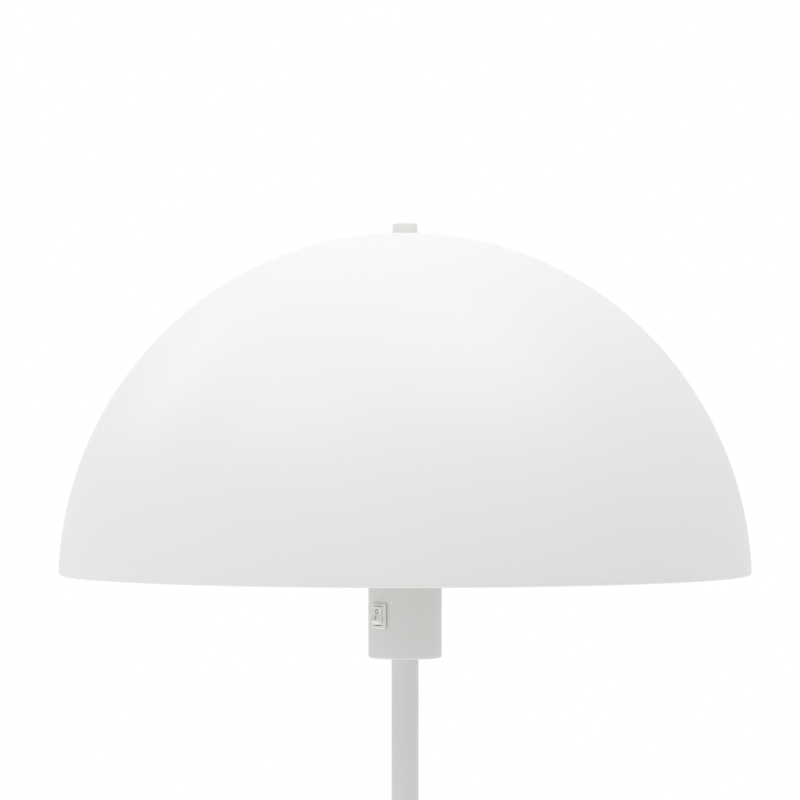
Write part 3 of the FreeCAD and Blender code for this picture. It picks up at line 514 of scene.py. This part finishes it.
def grain_group():
    """A fine grain and a wide, faint cloud over an object's surface."""
    tree, given, result = new_group("Surface grain", "ShaderNodeTree", [
        ("Grain", "NodeSocketFloat", 0.6 * MM),
        ("Cloud", "NodeSocketFloat", 30 * MM),
        ("Stretch", "NodeSocketVector", (1, 1, 1)),
    ], [("Height", "NodeSocketFloat"), ("Cloud", "NodeSocketFloat")])
    spot = place(tree, "ShaderNodeTexCoord")
    drawn = place(tree, "ShaderNodeVectorMath", {
        0: spot.outputs["Object"], 1: given["Stretch"]}, operation="MULTIPLY")
    outputs = {}
    for label, detail in (("Grain", 2), ("Cloud", 3)):
        fineness = place(tree, "ShaderNodeMath", {0: 1, 1: given[label]}, operation="DIVIDE")
        noise = place(tree, "ShaderNodeTexNoise", {
            "Vector": drawn.outputs[0], "Scale": fineness.outputs[0], "Detail": detail})
        outputs[label] = noise.outputs["Fac"]
    tree.links.new(outputs["Grain"], result["Height"])
    tree.links.new(outputs["Cloud"], result["Cloud"])
    return tree


def lathe_group():
    """Fine rings round the Z axis, as a lathe or a thread roller leaves them."""
    tree, given, result = new_group("Turning marks", "ShaderNodeTree", [
        ("Spacing", "NodeSocketFloat", 0.15 * MM),
    ], [("Height", "NodeSocketFloat")])
    spot = place(tree, "ShaderNodeTexCoord")
    parts = place(tree, "ShaderNodeSeparateXYZ", {"Vector": spot.outputs["Object"]})
    flat = place(tree, "ShaderNodeCombineXYZ", {"X": parts.outputs["X"], "Y": parts.outputs["Y"]})
    radius = place(tree, "ShaderNodeVectorMath", {0: flat.outputs["Vector"]}, operation="LENGTH")
    across = place(tree, "ShaderNodeMath", {0: radius.outputs["Value"], 1: parts.outputs["Z"]},
                   operation="ADD")
    fineness = place(tree, "ShaderNodeMath", {0: across.outputs[0], 1: given["Spacing"]},
                     operation="DIVIDE")
    noise = place(tree, "ShaderNodeTexNoise", {"W": fineness.outputs[0], "Scale": 1, "Detail": 2},
                  noise_dimensions="1D")
    tree.links.new(noise.outputs["Fac"], result["Height"])
    return tree


def new_finish(name, base, deep, rough, smooth, grain=0.6, cloud=30, relief=0.006, stretch=(1, 1, 1),
               marks=0, cells=0, **shader):
    """A material whose colour and roughness drift with the cloud and whose relief follows the grain.

    The grain, cloud, relief, marks and cells are in millimetres.
    """
    material = bpy.data.materials.new(name)
    material.use_nodes = True
    tree = material.node_tree
    surface = tree.nodes["Principled BSDF"]
    for label, value in shader.items():
        surface.inputs[label.replace("_", " ")].default_value = value
    skin = place(tree, "ShaderNodeGroup", node_tree=groups["grain"])
    skin.inputs["Grain"].default_value = grain * MM
    skin.inputs["Cloud"].default_value = cloud * MM
    skin.inputs["Stretch"].default_value = stretch
    tint = place(tree, "ShaderNodeMix", {
        0: skin.outputs["Cloud"], 6: (*base, 1), 7: (*deep, 1)}, data_type="RGBA")
    tree.links.new(tint.outputs[2], surface.inputs["Base Color"])
    gloss = place(tree, "ShaderNodeMapRange", {
        "Value": skin.outputs["Cloud"], "From Min": 0.3, "From Max": 0.7, "To Min": smooth, "To Max": rough})
    tree.links.new(gloss.outputs["Result"], surface.inputs["Roughness"])
    height = skin.outputs["Height"]
    if marks:
        turned_marks = place(tree, "ShaderNodeGroup", node_tree=groups["lathe"])
        turned_marks.inputs["Spacing"].default_value = marks * MM
        height = place(tree, "ShaderNodeMath", {0: height, 1: turned_marks.outputs["Height"]},
                       operation="ADD").outputs[0]
    if cells:
        spot = place(tree, "ShaderNodeTexCoord")
        pores = place(tree, "ShaderNodeTexVoronoi", {
            "Vector": spot.outputs["Object"], "Scale": 1 / (cells * MM)})
        height = place(tree, "ShaderNodeMath", {0: height, 1: pores.outputs["Distance"]},
                       operation="ADD").outputs[0]
    bump = place(tree, "ShaderNodeBump", {"Height": height, "Distance": relief * MM, "Strength": 1})
    tree.links.new(bump.outputs["Normal"], surface.inputs["Normal"])
    return material


def darker(shade_of, share):
    return tuple(channel * share for channel in shade_of)


def mix_finishes(lamp):
    finish = lamp.finish
    enamel, stem, moulded = tuple(finish.enamel), tuple(finish.stem_enamel), tuple(finish.switch)
    zinc = tuple(finish.zinc)
    brass, rubber, holder = tuple(finish.brass), tuple(finish.rubber), tuple(finish.holder)
    paint = {"rough": 0.46, "smooth": 0.40, "grain": 0.7, "cloud": 60, "relief": 0.005, "IOR": 1.38}
    finishes.update({
        "white_enamel": new_finish("white enamel", enamel, darker(enamel, 0.985), **paint),
        # The same paint as white_enamel, made darker: painted shade for the pole and switch housing.
        "stem_enamel": new_finish("stem enamel", stem, darker(stem, 0.985), **paint),
        "switch_white": new_finish(
            "switch plastic", moulded, darker(moulded, 0.98), 0.36, 0.30, grain=0.12, cloud=4, relief=0.002),
        "zinc_steel": new_finish(
            "zinc plate", zinc, darker(zinc, 0.82), 0.42, 0.28, grain=0.25, cloud=3, relief=0.003,
            marks=0.12, Metallic=1),
        "contact_brass": new_finish(
            "contact brass", brass, darker(brass, 0.8), 0.38, 0.24, grain=0.08, cloud=2, relief=0.002,
            stretch=(1, 8, 8), Metallic=1),
        "iron_casting": new_finish(
            "cast iron", (0.11, 0.105, 0.1), (0.06, 0.058, 0.055), 0.85, 0.68, grain=0.5, cloud=12,
            relief=0.12, cells=1.4),
        "dark_rubber": new_finish(
            "dark rubber", rubber, darker(rubber, 0.75), 0.82, 0.66, grain=0.3, cloud=8, relief=0.03,
            cells=0.9),
        "holder_plastic": new_finish(
            "holder plastic", holder, darker(holder, 0.96), 0.34, 0.26, grain=0.2, cloud=6, relief=0.003),
        "nylon": new_finish(
            "nylon", (0.74, 0.73, 0.68), (0.68, 0.67, 0.61), 0.5, 0.4, grain=0.15, cloud=3, relief=0.003,
            Subsurface_Weight=0.15, Subsurface_Scale=0.001),
        "cap_metal": new_finish(
            "bulb cap", (0.66, 0.66, 0.67), (0.52, 0.52, 0.53), 0.36, 0.22, grain=0.2, cloud=5,
            relief=0.002, marks=0.2, Metallic=1),
        "bulb_black": new_finish(
            "black glass", (0.012, 0.012, 0.013), (0.02, 0.02, 0.021), 0.2, 0.1, grain=0.3, cloud=3,
            relief=0.002),
        "bulb_plastic": new_finish(
            "bulb body", (0.79, 0.79, 0.78), (0.76, 0.76, 0.75), 0.42, 0.34, grain=0.2, cloud=10,
            relief=0.004),
        "bulb_opal": new_finish(
            "opal globe", (0.83, 0.83, 0.81), (0.81, 0.81, 0.785), 0.32, 0.24, grain=0.4, cloud=25,
            relief=0.003, Subsurface_Weight=0.3, Subsurface_Scale=0.004),
        "lead_insulation": new_finish(
            "lead insulation", (0.3, 0.12, 0.06), (0.24, 0.095, 0.045), 0.5, 0.4, grain=0.15, cloud=3,
            relief=0.004),
        "ink": new_finish(
            "printed ink", tuple(lamp.switch.ink), darker(lamp.switch.ink, 0.8), 0.6, 0.5, grain=0.08,
            cloud=1, relief=0.002),
    })
    for name, node in frame["nodes"].items():
        slot = node.data.materials[0].name.split(".")[0]
        if slot not in finishes:
            raise ValueError(f"{name} has no finish")
        node.data.materials[0] = finishes[slot]


# ---------------------------------------------------------------- pieces

class LampOperator(Operator):
    """One step: it makes its pieces from the lamp's settings."""
    bl_options = {"REGISTER", "UNDO"}

    def execute(self, context):
        self.make(context.scene.floor_lamp)
        return {"FINISHED"}


class LAMP_OT_finishes(LampOperator):
    """Build the node trees, mix the finishes and give them to the pieces of the frame"""
    bl_idname = "floor_lamp.finishes"
    bl_label = "Finishes"

    def make(self, lamp):
        groups.update(grain=grain_group(), lathe=lathe_group())
        trees.update(turned=turning_tree(), thread=thread_tree(), ribs=rib_tree(), strip=strip_tree())
        mix_finishes(lamp)


class LAMP_OT_shade(LampOperator):
    """Spin the dome with its flat seat, its hole and its curled rim"""
    bl_idname = "floor_lamp.shade"
    bl_label = "Shade"

    def make(self, lamp):
        shade = lamp.shade
        crown = math.degrees(shade.crown_angle)
        inner_crown = shade.crown_radius - shade.wall
        beyond = (shade.radius ** 2 - shade.crown_radius ** 2) / (
            2 * (shade.crown_radius - shade.radius * math.cos(shade.crown_angle)))
        side = shade.crown_radius + beyond
        across, up = -beyond * math.cos(shade.crown_angle), -beyond * math.sin(shade.crown_angle)
        to_curl = side - shade.curl_radius
        tangent = math.asin((shade.curl_radius - up) / to_curl)
        curl = across + to_curl * math.cos(tangent)
        tangent = math.degrees(tangent)
        inner_curl = shade.curl_radius - shade.wall
        seat = math.sqrt(shade.crown_radius ** 2 - shade.seat_radius ** 2)
        outer_seat = math.degrees(math.acos(shade.seat_radius / shade.crown_radius))
        inner_seat = math.degrees(math.asin((seat - shade.wall) / inner_crown))
        outline = [(shade.hole_radius, seat)]
        outline += arc(0, 0, shade.crown_radius, outer_seat, crown, 36)
        outline += arc(across, up, side, crown, tangent, 40)[1:]
        outline += arc(curl, shade.curl_radius, shade.curl_radius, tangent, -270, 22)[1:]
        outline += arc(curl, shade.curl_radius, inner_curl, -270, tangent, 14)
        outline += arc(across, up, side - shade.wall, tangent, crown, 40)[1:]
        outline += arc(0, 0, inner_crown, crown, inner_seat, 36)[1:]
        outline.append((shade.hole_radius, seat - shade.wall))
        outline = [(out, height + shade.rim_plane) for out, height in outline]
        piece = turned("dome_shade", outline, finishes["white_enamel"], shade.segments)
        settle(piece, "stand", "white_enamel", "shade")


class LAMP_OT_knob(LampOperator):
    """Turn the knob with its eased edge, recess and blind bore"""
    bl_idname = "floor_lamp.knob"
    bl_label = "Knob"

    def make(self, lamp):
        knob = lamp.knob
        foot, top, radius = extent("finial_knob")
        recess_edge, foot_edge = 0.12 * MM, 0.2 * MM
        outline = eased([
            (0, top - knob.cap, 0),
            (knob.bore_radius, top - knob.cap, 0),
            (knob.bore_radius, foot + knob.recess_depth, 0),
            (knob.recess_radius, foot + knob.recess_depth, 0),
            (knob.recess_radius, foot, recess_edge),
            (radius, foot, foot_edge),
            (radius, top, knob.edge),
            (0, top, 0),
        ], steps=6)
        piece = turned("knob", outline, finishes["white_enamel"], 96, closed=False)
        settle(piece, "knob", "white_enamel", "finial_knob")


class LAMP_OT_housing(LampOperator):
    """Draw the cup under the shade and cut the switch's window in its wall"""
    bl_idname = "floor_lamp.housing"
    bl_label = "Switch housing"

    def make(self, lamp):
        head = lamp.head
        foot, top, radius = extent("switch_housing")
        inside = radius - head.wall
        mouth_edge, floor_bend = 0.3 * MM, 0.5 * MM
        steps_round = 360
        window = [foot + head.switch_height - head.cutout_half_height,
                  foot + head.switch_height + head.cutout_half_height]
        outline = eased([
            (head.hole_radius, foot, 0),
            (radius, foot, head.edge),
            (radius, window[0], 0),
            (radius, window[1], 0),
            (radius, top, mouth_edge),
            (inside, top, mouth_edge),
            (inside, window[1], 0),
            (inside, window[0], 0),
            (inside, foot + head.wall, floor_bend),
            (head.hole_radius, foot + head.wall, 0),
        ])
        piece = turned("switch_cup", outline, finishes["stem_enamel"], steps_round)
        open_window(piece.data, -math.pi / 2, head.cutout_half_angle, *window)
        sharpen(piece.data)
        settle(piece, "stand", "white_enamel", "switch_housing")


class LAMP_OT_pole(LampOperator):
    """Draw the pole's tubes with broken edges, and roll the threads of the hollow studs"""
    bl_idname = "floor_lamp.pole"
    bl_label = "Pole and studs"

    def make(self, lamp):
        pole = lamp.pole
        for section in ("lower_pole", "middle_pole", "upper_pole"):
            foot, top, radius = extent(section)
            outline = eased([
                (radius - pole.wall, foot, 0),
                (radius, foot, pole.edge),
                (radius, top, pole.edge),
                (radius - pole.wall, top, 0),
            ], steps=3)
            piece = turned(f"{section}_tube", outline, finishes["stem_enamel"], 96)
            settle(piece, "stand", "white_enamel", section)
        stud_wall, bore_edge, end_edge = 1.25 * MM, 0.1 * MM, 0.3 * MM
        for stud in ("foot_stud", "lower_joint_stud", "middle_joint_stud", "head_stud", "holder_stud"):
            foot, top, radius = extent(stud)
            ridge = RIDGE_SHARE * pole.pitch
            core = radius - ridge
            outline = eased([
                (radius - stud_wall, foot, bore_edge),
                (core, foot, end_edge),
                (core, top, end_edge),
                (radius - stud_wall, top, bore_edge),
            ], steps=2)
            tube = turned(f"{stud}_core", outline, finishes["zinc_steel"], 48)
            threads = threaded(f"{stud}_thread", core, ridge, pole.pitch, foot, top, "zinc_steel")
            piece = join(f"{stud}_threaded", [tube, threads])
            settle(piece, "stand", "zinc_steel", stud)


class LAMP_OT_head(LampOperator):
    """Bend the harp, thread the lampholder's sleeve and rib the clamp ring"""
    bl_idname = "floor_lamp.head"
    bl_label = "Harp and lampholder"

    def make(self, lamp):
        self.harp()
        self.sleeve(lamp.head)
        self.clamp_ring(lamp.head)

    def harp(self):
        foot, half = low("harp").z, high("harp").x
        top = low("shade_seat_washer").z
        thick, stud_radius, ring_radius = 2 * MM, 3 * MM, high("harp").y
        strip_width = high("shade_seat_washer").x * 0.8
        foot_bend, crest_bend = 7 * MM, 26 * MM
        overlap, sleeve_slack = 2.5 * MM, 0.3 * MM
        edge, bore_edge, tip_edge = 0.4 * MM, 0.2 * MM, 0.5 * MM
        ridge, pitch, thread_start = 0.3 * MM, 1 * MM, 2.8 * MM
        line = thick / 2
        path = [(ring_radius - overlap, foot + line)]
        path += arc(half - foot_bend, foot + foot_bend, foot_bend - line, -90, 0, 12)
        path += arc(half - crest_bend, top - crest_bend, crest_bend - line, 0, 90, 20)
        path += [(-across, up) for across, up in reversed(path)]
        mesh = bpy.data.meshes.new("harp_strip")
        mesh.from_pydata([(across, 0, up) for across, up in path],
                         [(step, step + 1) for step in range(len(path) - 1)], [])
        strip = grow(new_object("harp_strip", mesh), trees["strip"], width=strip_width,
                     thickness=thick, edge=edge, material=finishes["white_enamel"])
        outward(strip.data)
        sharpen(strip.data)
        bore = high("holder_sleeve").x + sleeve_slack
        ring = turned("harp_ring", eased([
            (bore, foot, bore_edge), (ring_radius, foot, edge),
            (ring_radius, foot + thick, edge), (bore, foot + thick, bore_edge)], steps=3),
            finishes["white_enamel"], 128)
        end = high("harp").z
        core = stud_radius - ridge
        stud = turned("harp_stud", [
            (0, top - line)] + eased([(core, top - line, 0), (core, end, tip_edge), (0, end, 0)], steps=3),
            finishes["white_enamel"], 48, closed=False)
        threads = threaded("harp_thread", core, ridge, pitch, top + thread_start, end, "white_enamel")
        piece = join("harp_loop", [strip, ring, stud, threads])
        settle(piece, "stand", "white_enamel", "harp")

    def sleeve(self, head):
        foot, top, radius = extent("holder_sleeve")
        bore, mouth, lip = 18 * MM, 13.6 * MM, 2.5 * MM
        foot_edge, top_edge, mouth_edge = 0.2 * MM, 0.8 * MM, 0.5 * MM
        thread_start, thread_end = 14 * MM, 0.6 * MM
        ridge = RIDGE_SHARE * head.ring_pitch
        core = radius - ridge
        outline = eased([
            (bore, foot, 0),
            (core, foot, foot_edge),
            (core, top, top_edge),
            (mouth, top, mouth_edge),
            (mouth, top - lip, 0),
            (bore, top - lip, 0),
        ], steps=4)
        shell = turned("sleeve_core", outline, finishes["holder_plastic"], 128)
        threads = threaded("sleeve_thread", core, ridge, head.ring_pitch, foot + thread_start,
                           top - thread_end, "holder_plastic", steps=96)
        piece = join("sleeve_threaded", [shell, threads])
        settle(piece, "stand", "holder_plastic", "holder_sleeve")

    def clamp_ring(self, head):
        foot, top, radius = extent("clamp_ring")
        slack, rib_stand, rib_margin = 0.05 * MM, 0.6, 2.4 * MM
        flange, flange_root = 1.2 * MM, 1.6 * MM
        foot_edge, flange_edge, top_edge, mouth_edge = 0.3 * MM, 0.2 * MM, 0.8 * MM, 0.6 * MM
        inside = high("holder_sleeve").x + slack
        drum = radius - rib_stand * head.rib_radius
        outline = eased([
            (inside, foot, foot_edge),
            (radius, foot, foot_edge),
            (radius, foot + flange, flange_edge),
            (drum, foot + flange_root, flange_edge),
            (drum, top, top_edge),
            (inside, top, mouth_edge),
        ], steps=4)
        ring = turned("ring_drum", outline, finishes["holder_plastic"], 144)
        ribs = grow(new_object("ring_ribs", bpy.data.meshes.new("ring_ribs")), trees["ribs"],
                    radius=radius - head.rib_radius, count=head.ribs, rib_radius=head.rib_radius,
                    rib_height=top - foot - rib_margin, middle=(top + foot) / 2,
                    material=finishes["holder_plastic"])
        sharpen(ribs.data)
        piece = join("clamp_ring_ribbed", [ring, ribs])
        settle(piece, "stand", "holder_plastic", "clamp_ring")


class LAMP_OT_bulb(LampOperator):
    """Roll the round thread of the bulb's cap"""
    bl_idname = "floor_lamp.bulb"
    bl_label = "Bulb cap"

    def make(self, lamp):
        foot, top, radius = extent("bulb_cap")
        ridge, ridge_stand, pitch = 0.75 * MM, 0.75, 3.6 * MM
        cone, collar = 1.6 * MM, 2.4 * MM
        root_edge, core_edge, top_edge = 0.3 * MM, 0.4 * MM, 0.2 * MM
        core = radius - ridge * ridge_stand
        outline = [(0, foot)] + eased([
            (radius - cone, foot, root_edge),
            (core, foot + cone, core_edge),
            (core, top - collar, core_edge),
            (radius, top - cone, root_edge),
            (radius, top, top_edge),
            (0, top, 0),
        ], steps=3)
        shell = turned("cap_shell", outline, finishes["cap_metal"], 96, closed=False)
        threads = threaded("cap_thread", radius - ridge, ridge, pitch, foot + cone, top - collar,
                           "cap_metal", steps=64)
        piece = join("bulb_cap_threaded", [shell, threads])
        settle(piece, "stand", "cap_metal", "bulb_cap")


class LAMP_OT_switch(LampOperator):
    """Soften the switch's bezel, and print the off and on marks on the rocker's two faces"""
    bl_idname = "floor_lamp.switch"
    bl_label = "Switch"

    def make(self, lamp):
        self.bezel(lamp.switch)
        self.marks(lamp.switch)

    def bezel(self, switch):
        """The switch's frame, softer at its upper and lower edge, with a lip round the opening's front."""
        mesh = frame["nodes"]["switch_frame"].data.copy()
        mesh.name = "switch_bezel"
        normals = [corner.vector.copy() for corner in mesh.corner_normals]
        front, half_width = low("switch_frame").y, high("switch_frame").x
        foot, top = low("switch_frame").z, high("switch_frame").z
        middle, half_height = (foot + top) / 2, (top - foot) / 2
        softer = switch.edge / switch.cad_edge
        for vertex in mesh.vertices:
            across, up, depth = vertex.co.x, vertex.co.z - middle, vertex.co.y - front
            if depth < NEAR and abs(across) < switch.opening + NEAR:
                vertex.co.x -= math.copysign(switch.lip, across)
                vertex.co.z -= math.copysign(switch.lip, up)
                continue
            core = Vector([max(-1, min(1, out / straight)) * straight for out, straight in (
                (across, half_width - switch.corner), (up, half_height - switch.corner))])
            spoke = Vector((across, up)) - core
            inset = switch.corner - spoke.length
            if inset < switch.cad_edge + NEAR and depth < switch.cad_edge + NEAR:
                spoke.normalize()
                growth = 1 + (softer - 1) * spoke.y ** 2
                spot = core + spoke * (switch.corner - inset * growth)
                vertex.co = (spot.x, front + depth * growth, middle + spot.y)
        weld(mesh)
        mesh.normals_split_custom_set(normals)
        settle(new_object("switch_bezel", mesh), "stand", "switch_white", "switch_frame")

    def marks(self, switch):
        pivot = Vector(next(joint["pos_m"] for joint in frame["joints"] if joint["name"] == "rocker_tip"))
        along = Vector((1, 0, 0))
        face = switch.valley_reach * math.cos(switch.throw)
        lift = 0.006 * MM
        outer, inner = switch.ring_radius, switch.ring_radius - switch.line_width
        ring = turned("off_mark", [
            (inner, 0), (outer, 0), (outer, switch.ink_thick), (inner, switch.ink_thick)],
            finishes["ink"], 48)
        stand_on(ring, pivot + Vector((0, -face - lift, switch.ring_height)), along, Vector((0, 0, 1)))
        half, end = switch.line_width / 2, switch.dash_length / 2
        dash = slab("on_mark", eased([(across, up, half / 2) for across, up in (
            (-half, -end), (half, -end), (half, end), (-half, end))]), switch.ink_thick, finishes["ink"])
        lean = 2 * switch.throw
        up = Vector((0, math.sin(lean), math.cos(lean)))
        valley = pivot + Vector((0, -face, switch.valley_reach * math.sin(switch.throw)))
        out = along.cross(up)
        stand_on(dash, valley - up * switch.dash_place + out * lift, along, up)
        for piece in (ring, dash):
            settle(piece, "rocker", "switch_white")


class LAMP_OT_base(LampOperator):
    """Spin the base's cover and cut the cord's inlet in its wall"""
    bl_idname = "floor_lamp.base"
    bl_label = "Base cover"

    def make(self, lamp):
        base = lamp.base
        foot, top, radius = extent("base_cover")
        stud_hole = 5.05 * MM
        foot_inner_edge, foot_outer_edge = 0.2 * MM, 0.3 * MM
        half_angle, half_height = math.radians(2.5), 4.6 * MM
        window = [base.inlet_height - half_height, base.inlet_height + half_height]
        outline = eased([
            (stud_hole, top - base.wall, 0),
            (radius - base.wall, top - base.wall, base.edge - base.wall),
            (radius - base.wall, window[1], 0),
            (radius - base.wall, window[0], 0),
            (radius - base.wall, foot, foot_inner_edge),
            (radius, foot, foot_outer_edge),
            (radius, window[0], 0),
            (radius, window[1], 0),
            (radius, top, base.edge),
            (stud_hole, top, 0),
        ], steps=8)
        piece = turned("cover_spun", outline, finishes["white_enamel"], 180)
        open_window(piece.data, math.pi / 2, half_angle, *window,
                    hole=(base.hole_radius, base.inlet_height))
        sharpen(piece.data)
        settle(piece, "stand", "white_enamel", "base_cover")


class LAMP_OT_stage(LampOperator):
    """Set out the floor, the soft lights, the pale surroundings and the camera"""
    bl_idname = "floor_lamp.stage"
    bl_label = "Stage"

    def make(self, lamp):
        stage = lamp.stage
        self.right = Vector((math.cos(stage.azimuth), math.sin(stage.azimuth), 0))
        self.toward = Vector((math.sin(stage.azimuth), -math.cos(stage.azimuth), 0))
        self.floor(stage)
        self.surroundings(stage)
        self.lights()
        self.camera(stage)

    def floor(self, stage):
        disc = bmesh.new()
        bmesh.ops.create_circle(disc, cap_ends=True, segments=96, radius=stage.floor_radius)
        mesh = bpy.data.meshes.new("studio_floor")
        disc.to_mesh(mesh)
        disc.free()
        material = bpy.data.materials.new("studio floor")
        material.use_nodes = True
        tree = material.node_tree
        surface = tree.nodes["Principled BSDF"]
        surface.inputs["Roughness"].default_value = 0.9
        spot = place(tree, "ShaderNodeTexCoord")
        noise = place(tree, "ShaderNodeTexNoise", {"Vector": spot.outputs["Object"], "Scale": 3})
        rays = place(tree, "ShaderNodeLightPath")
        tint = place(tree, "ShaderNodeMix", {
            0: noise.outputs["Fac"], 6: (0.83, 0.83, 0.83, 1), 7: (0.81, 0.81, 0.81, 1)}, data_type="RGBA")
        seen = place(tree, "ShaderNodeMix", {
            0: rays.outputs["Is Camera Ray"], 6: tint.outputs[2], 7: (1, 1, 1, 1)}, data_type="RGBA")
        tree.links.new(seen.outputs[2], surface.inputs["Base Color"])
        glow = place(tree, "ShaderNodeMapRange", {
            "Value": rays.outputs["Is Camera Ray"], "To Min": stage.glow, "To Max": 0})
        surface.inputs["Emission Color"].default_value = (1, 1, 1, 1)
        tree.links.new(glow.outputs["Result"], surface.inputs["Emission Strength"])
        mesh.materials.append(material)
        new_object("studio_floor", mesh)

    def surroundings(self, stage):
        world = bpy.data.worlds.new("pale studio")
        bpy.context.scene.world = world
        world.use_nodes = True
        tree = world.node_tree
        light = tree.nodes["Background"]
        rays = place(tree, "ShaderNodeLightPath")
        seen = place(tree, "ShaderNodeMath", {
            0: rays.outputs["Is Camera Ray"], 1: rays.outputs["Is Glossy Ray"]}, operation="MAXIMUM")
        through = place(tree, "ShaderNodeMath", {
            0: seen.outputs[0], 1: rays.outputs["Is Transmission Ray"]}, operation="MAXIMUM")
        strength = place(tree, "ShaderNodeMapRange", {
            "Value": through.outputs[0], "To Min": stage.ambient, "To Max": 1})
        tree.links.new(strength.outputs["Result"], light.inputs["Strength"])
        light.inputs["Color"].default_value = (*stage.backdrop, 1)

    def lights(self):
        """Soft boxes round the shade: across, up and towards the camera, distance, size and power."""
        middle = Vector((0, 0, 1.25))
        for name, (across, up, near), distance, size, power in (
                ("upper_back_box", (-0.71, 0.58, -0.40), 2.2, 1.0, 2.91),
                ("upper_left_box", (-0.45, 0.80, 0.40), 2.0, 1.4, 7.67),
                ("low_left_box", (-0.80, -0.45, 0.40), 1.6, 0.8, 1.12),
                ("top_box", (0.30, 0.92, 0.25), 1.9, 1.4, 10.01)):
            place_of_light = middle + (self.right * across + self.toward * near
                                       + Vector((0, 0, up))).normalized() * distance
            lamp = bpy.data.lights.new(name, "AREA")
            lamp.shape = "DISK"
            lamp.size = size
            lamp.energy = power
            stand = bpy.data.objects.new(name, lamp)
            stand.location = place_of_light
            stand.rotation_euler = (middle - place_of_light).to_track_quat("-Z", "Y").to_euler()
            bpy.context.scene.collection.objects.link(stand)

    def camera(self, stage):
        eye = bpy.data.cameras.new("photo camera")
        eye.lens = stage.lens
        eye.sensor_width = 36
        eye.clip_end = 50
        stand = bpy.data.objects.new("photo_camera", eye)
        stand.location = self.toward * stage.distance + Vector((0, 0, stage.height))
        stand.rotation_euler = (math.pi / 2 + stage.pitch, 0, stage.azimuth + stage.yaw)
        bpy.context.scene.collection.objects.link(stand)
        bpy.context.scene.camera = stand
        bpy.context.scene.view_settings.view_transform = "Standard"


# ---------------------------------------------------------------- panel and run

PARTS = (LAMP_PG_shade, LAMP_PG_knob, LAMP_PG_pole, LAMP_PG_head, LAMP_PG_switch, LAMP_PG_base,
         LAMP_PG_finish, LAMP_PG_stage)
STEPS = (LAMP_OT_finishes, LAMP_OT_shade, LAMP_OT_knob, LAMP_OT_housing, LAMP_OT_pole, LAMP_OT_head,
         LAMP_OT_bulb, LAMP_OT_switch, LAMP_OT_base, LAMP_OT_stage)


class LAMP_PG_lamp(PropertyGroup):
    shade: PointerProperty(type=LAMP_PG_shade)
    knob: PointerProperty(type=LAMP_PG_knob)
    pole: PointerProperty(type=LAMP_PG_pole)
    head: PointerProperty(type=LAMP_PG_head)
    switch: PointerProperty(type=LAMP_PG_switch)
    base: PointerProperty(type=LAMP_PG_base)
    finish: PointerProperty(type=LAMP_PG_finish)
    stage: PointerProperty(type=LAMP_PG_stage)


class LAMP_PT_panel(Panel):
    """Every step of the lamp, with the sizes and colours that it uses"""
    bl_idname = "LAMP_PT_panel"
    bl_label = "Floor Lamp"
    bl_space_type = "VIEW_3D"
    bl_region_type = "UI"
    bl_category = "Floor Lamp"

    def draw(self, context):
        lamp = context.scene.floor_lamp
        for step in STEPS:
            self.layout.operator(step.bl_idname)
        for name in lamp.__annotations__:
            box = self.layout.box()
            box.label(text=name.title())
            part = getattr(lamp, name)
            for size in part.__annotations__:
                box.prop(part, size)


def register():
    for kind in (*PARTS, LAMP_PG_lamp, *STEPS, LAMP_PT_panel):
        bpy.utils.register_class(kind)
    bpy.types.Scene.floor_lamp = PointerProperty(type=LAMP_PG_lamp)


def unregister():
    del bpy.types.Scene.floor_lamp
    for kind in reversed((*PARTS, LAMP_PG_lamp, *STEPS, LAMP_PT_panel)):
        bpy.utils.unregister_class(kind)


def main():
    register()
    for step in STEPS:
        group, name = step.bl_idname.split(".")
        getattr(getattr(bpy.ops, group), name)()


if __name__ == "__main__":
    main()
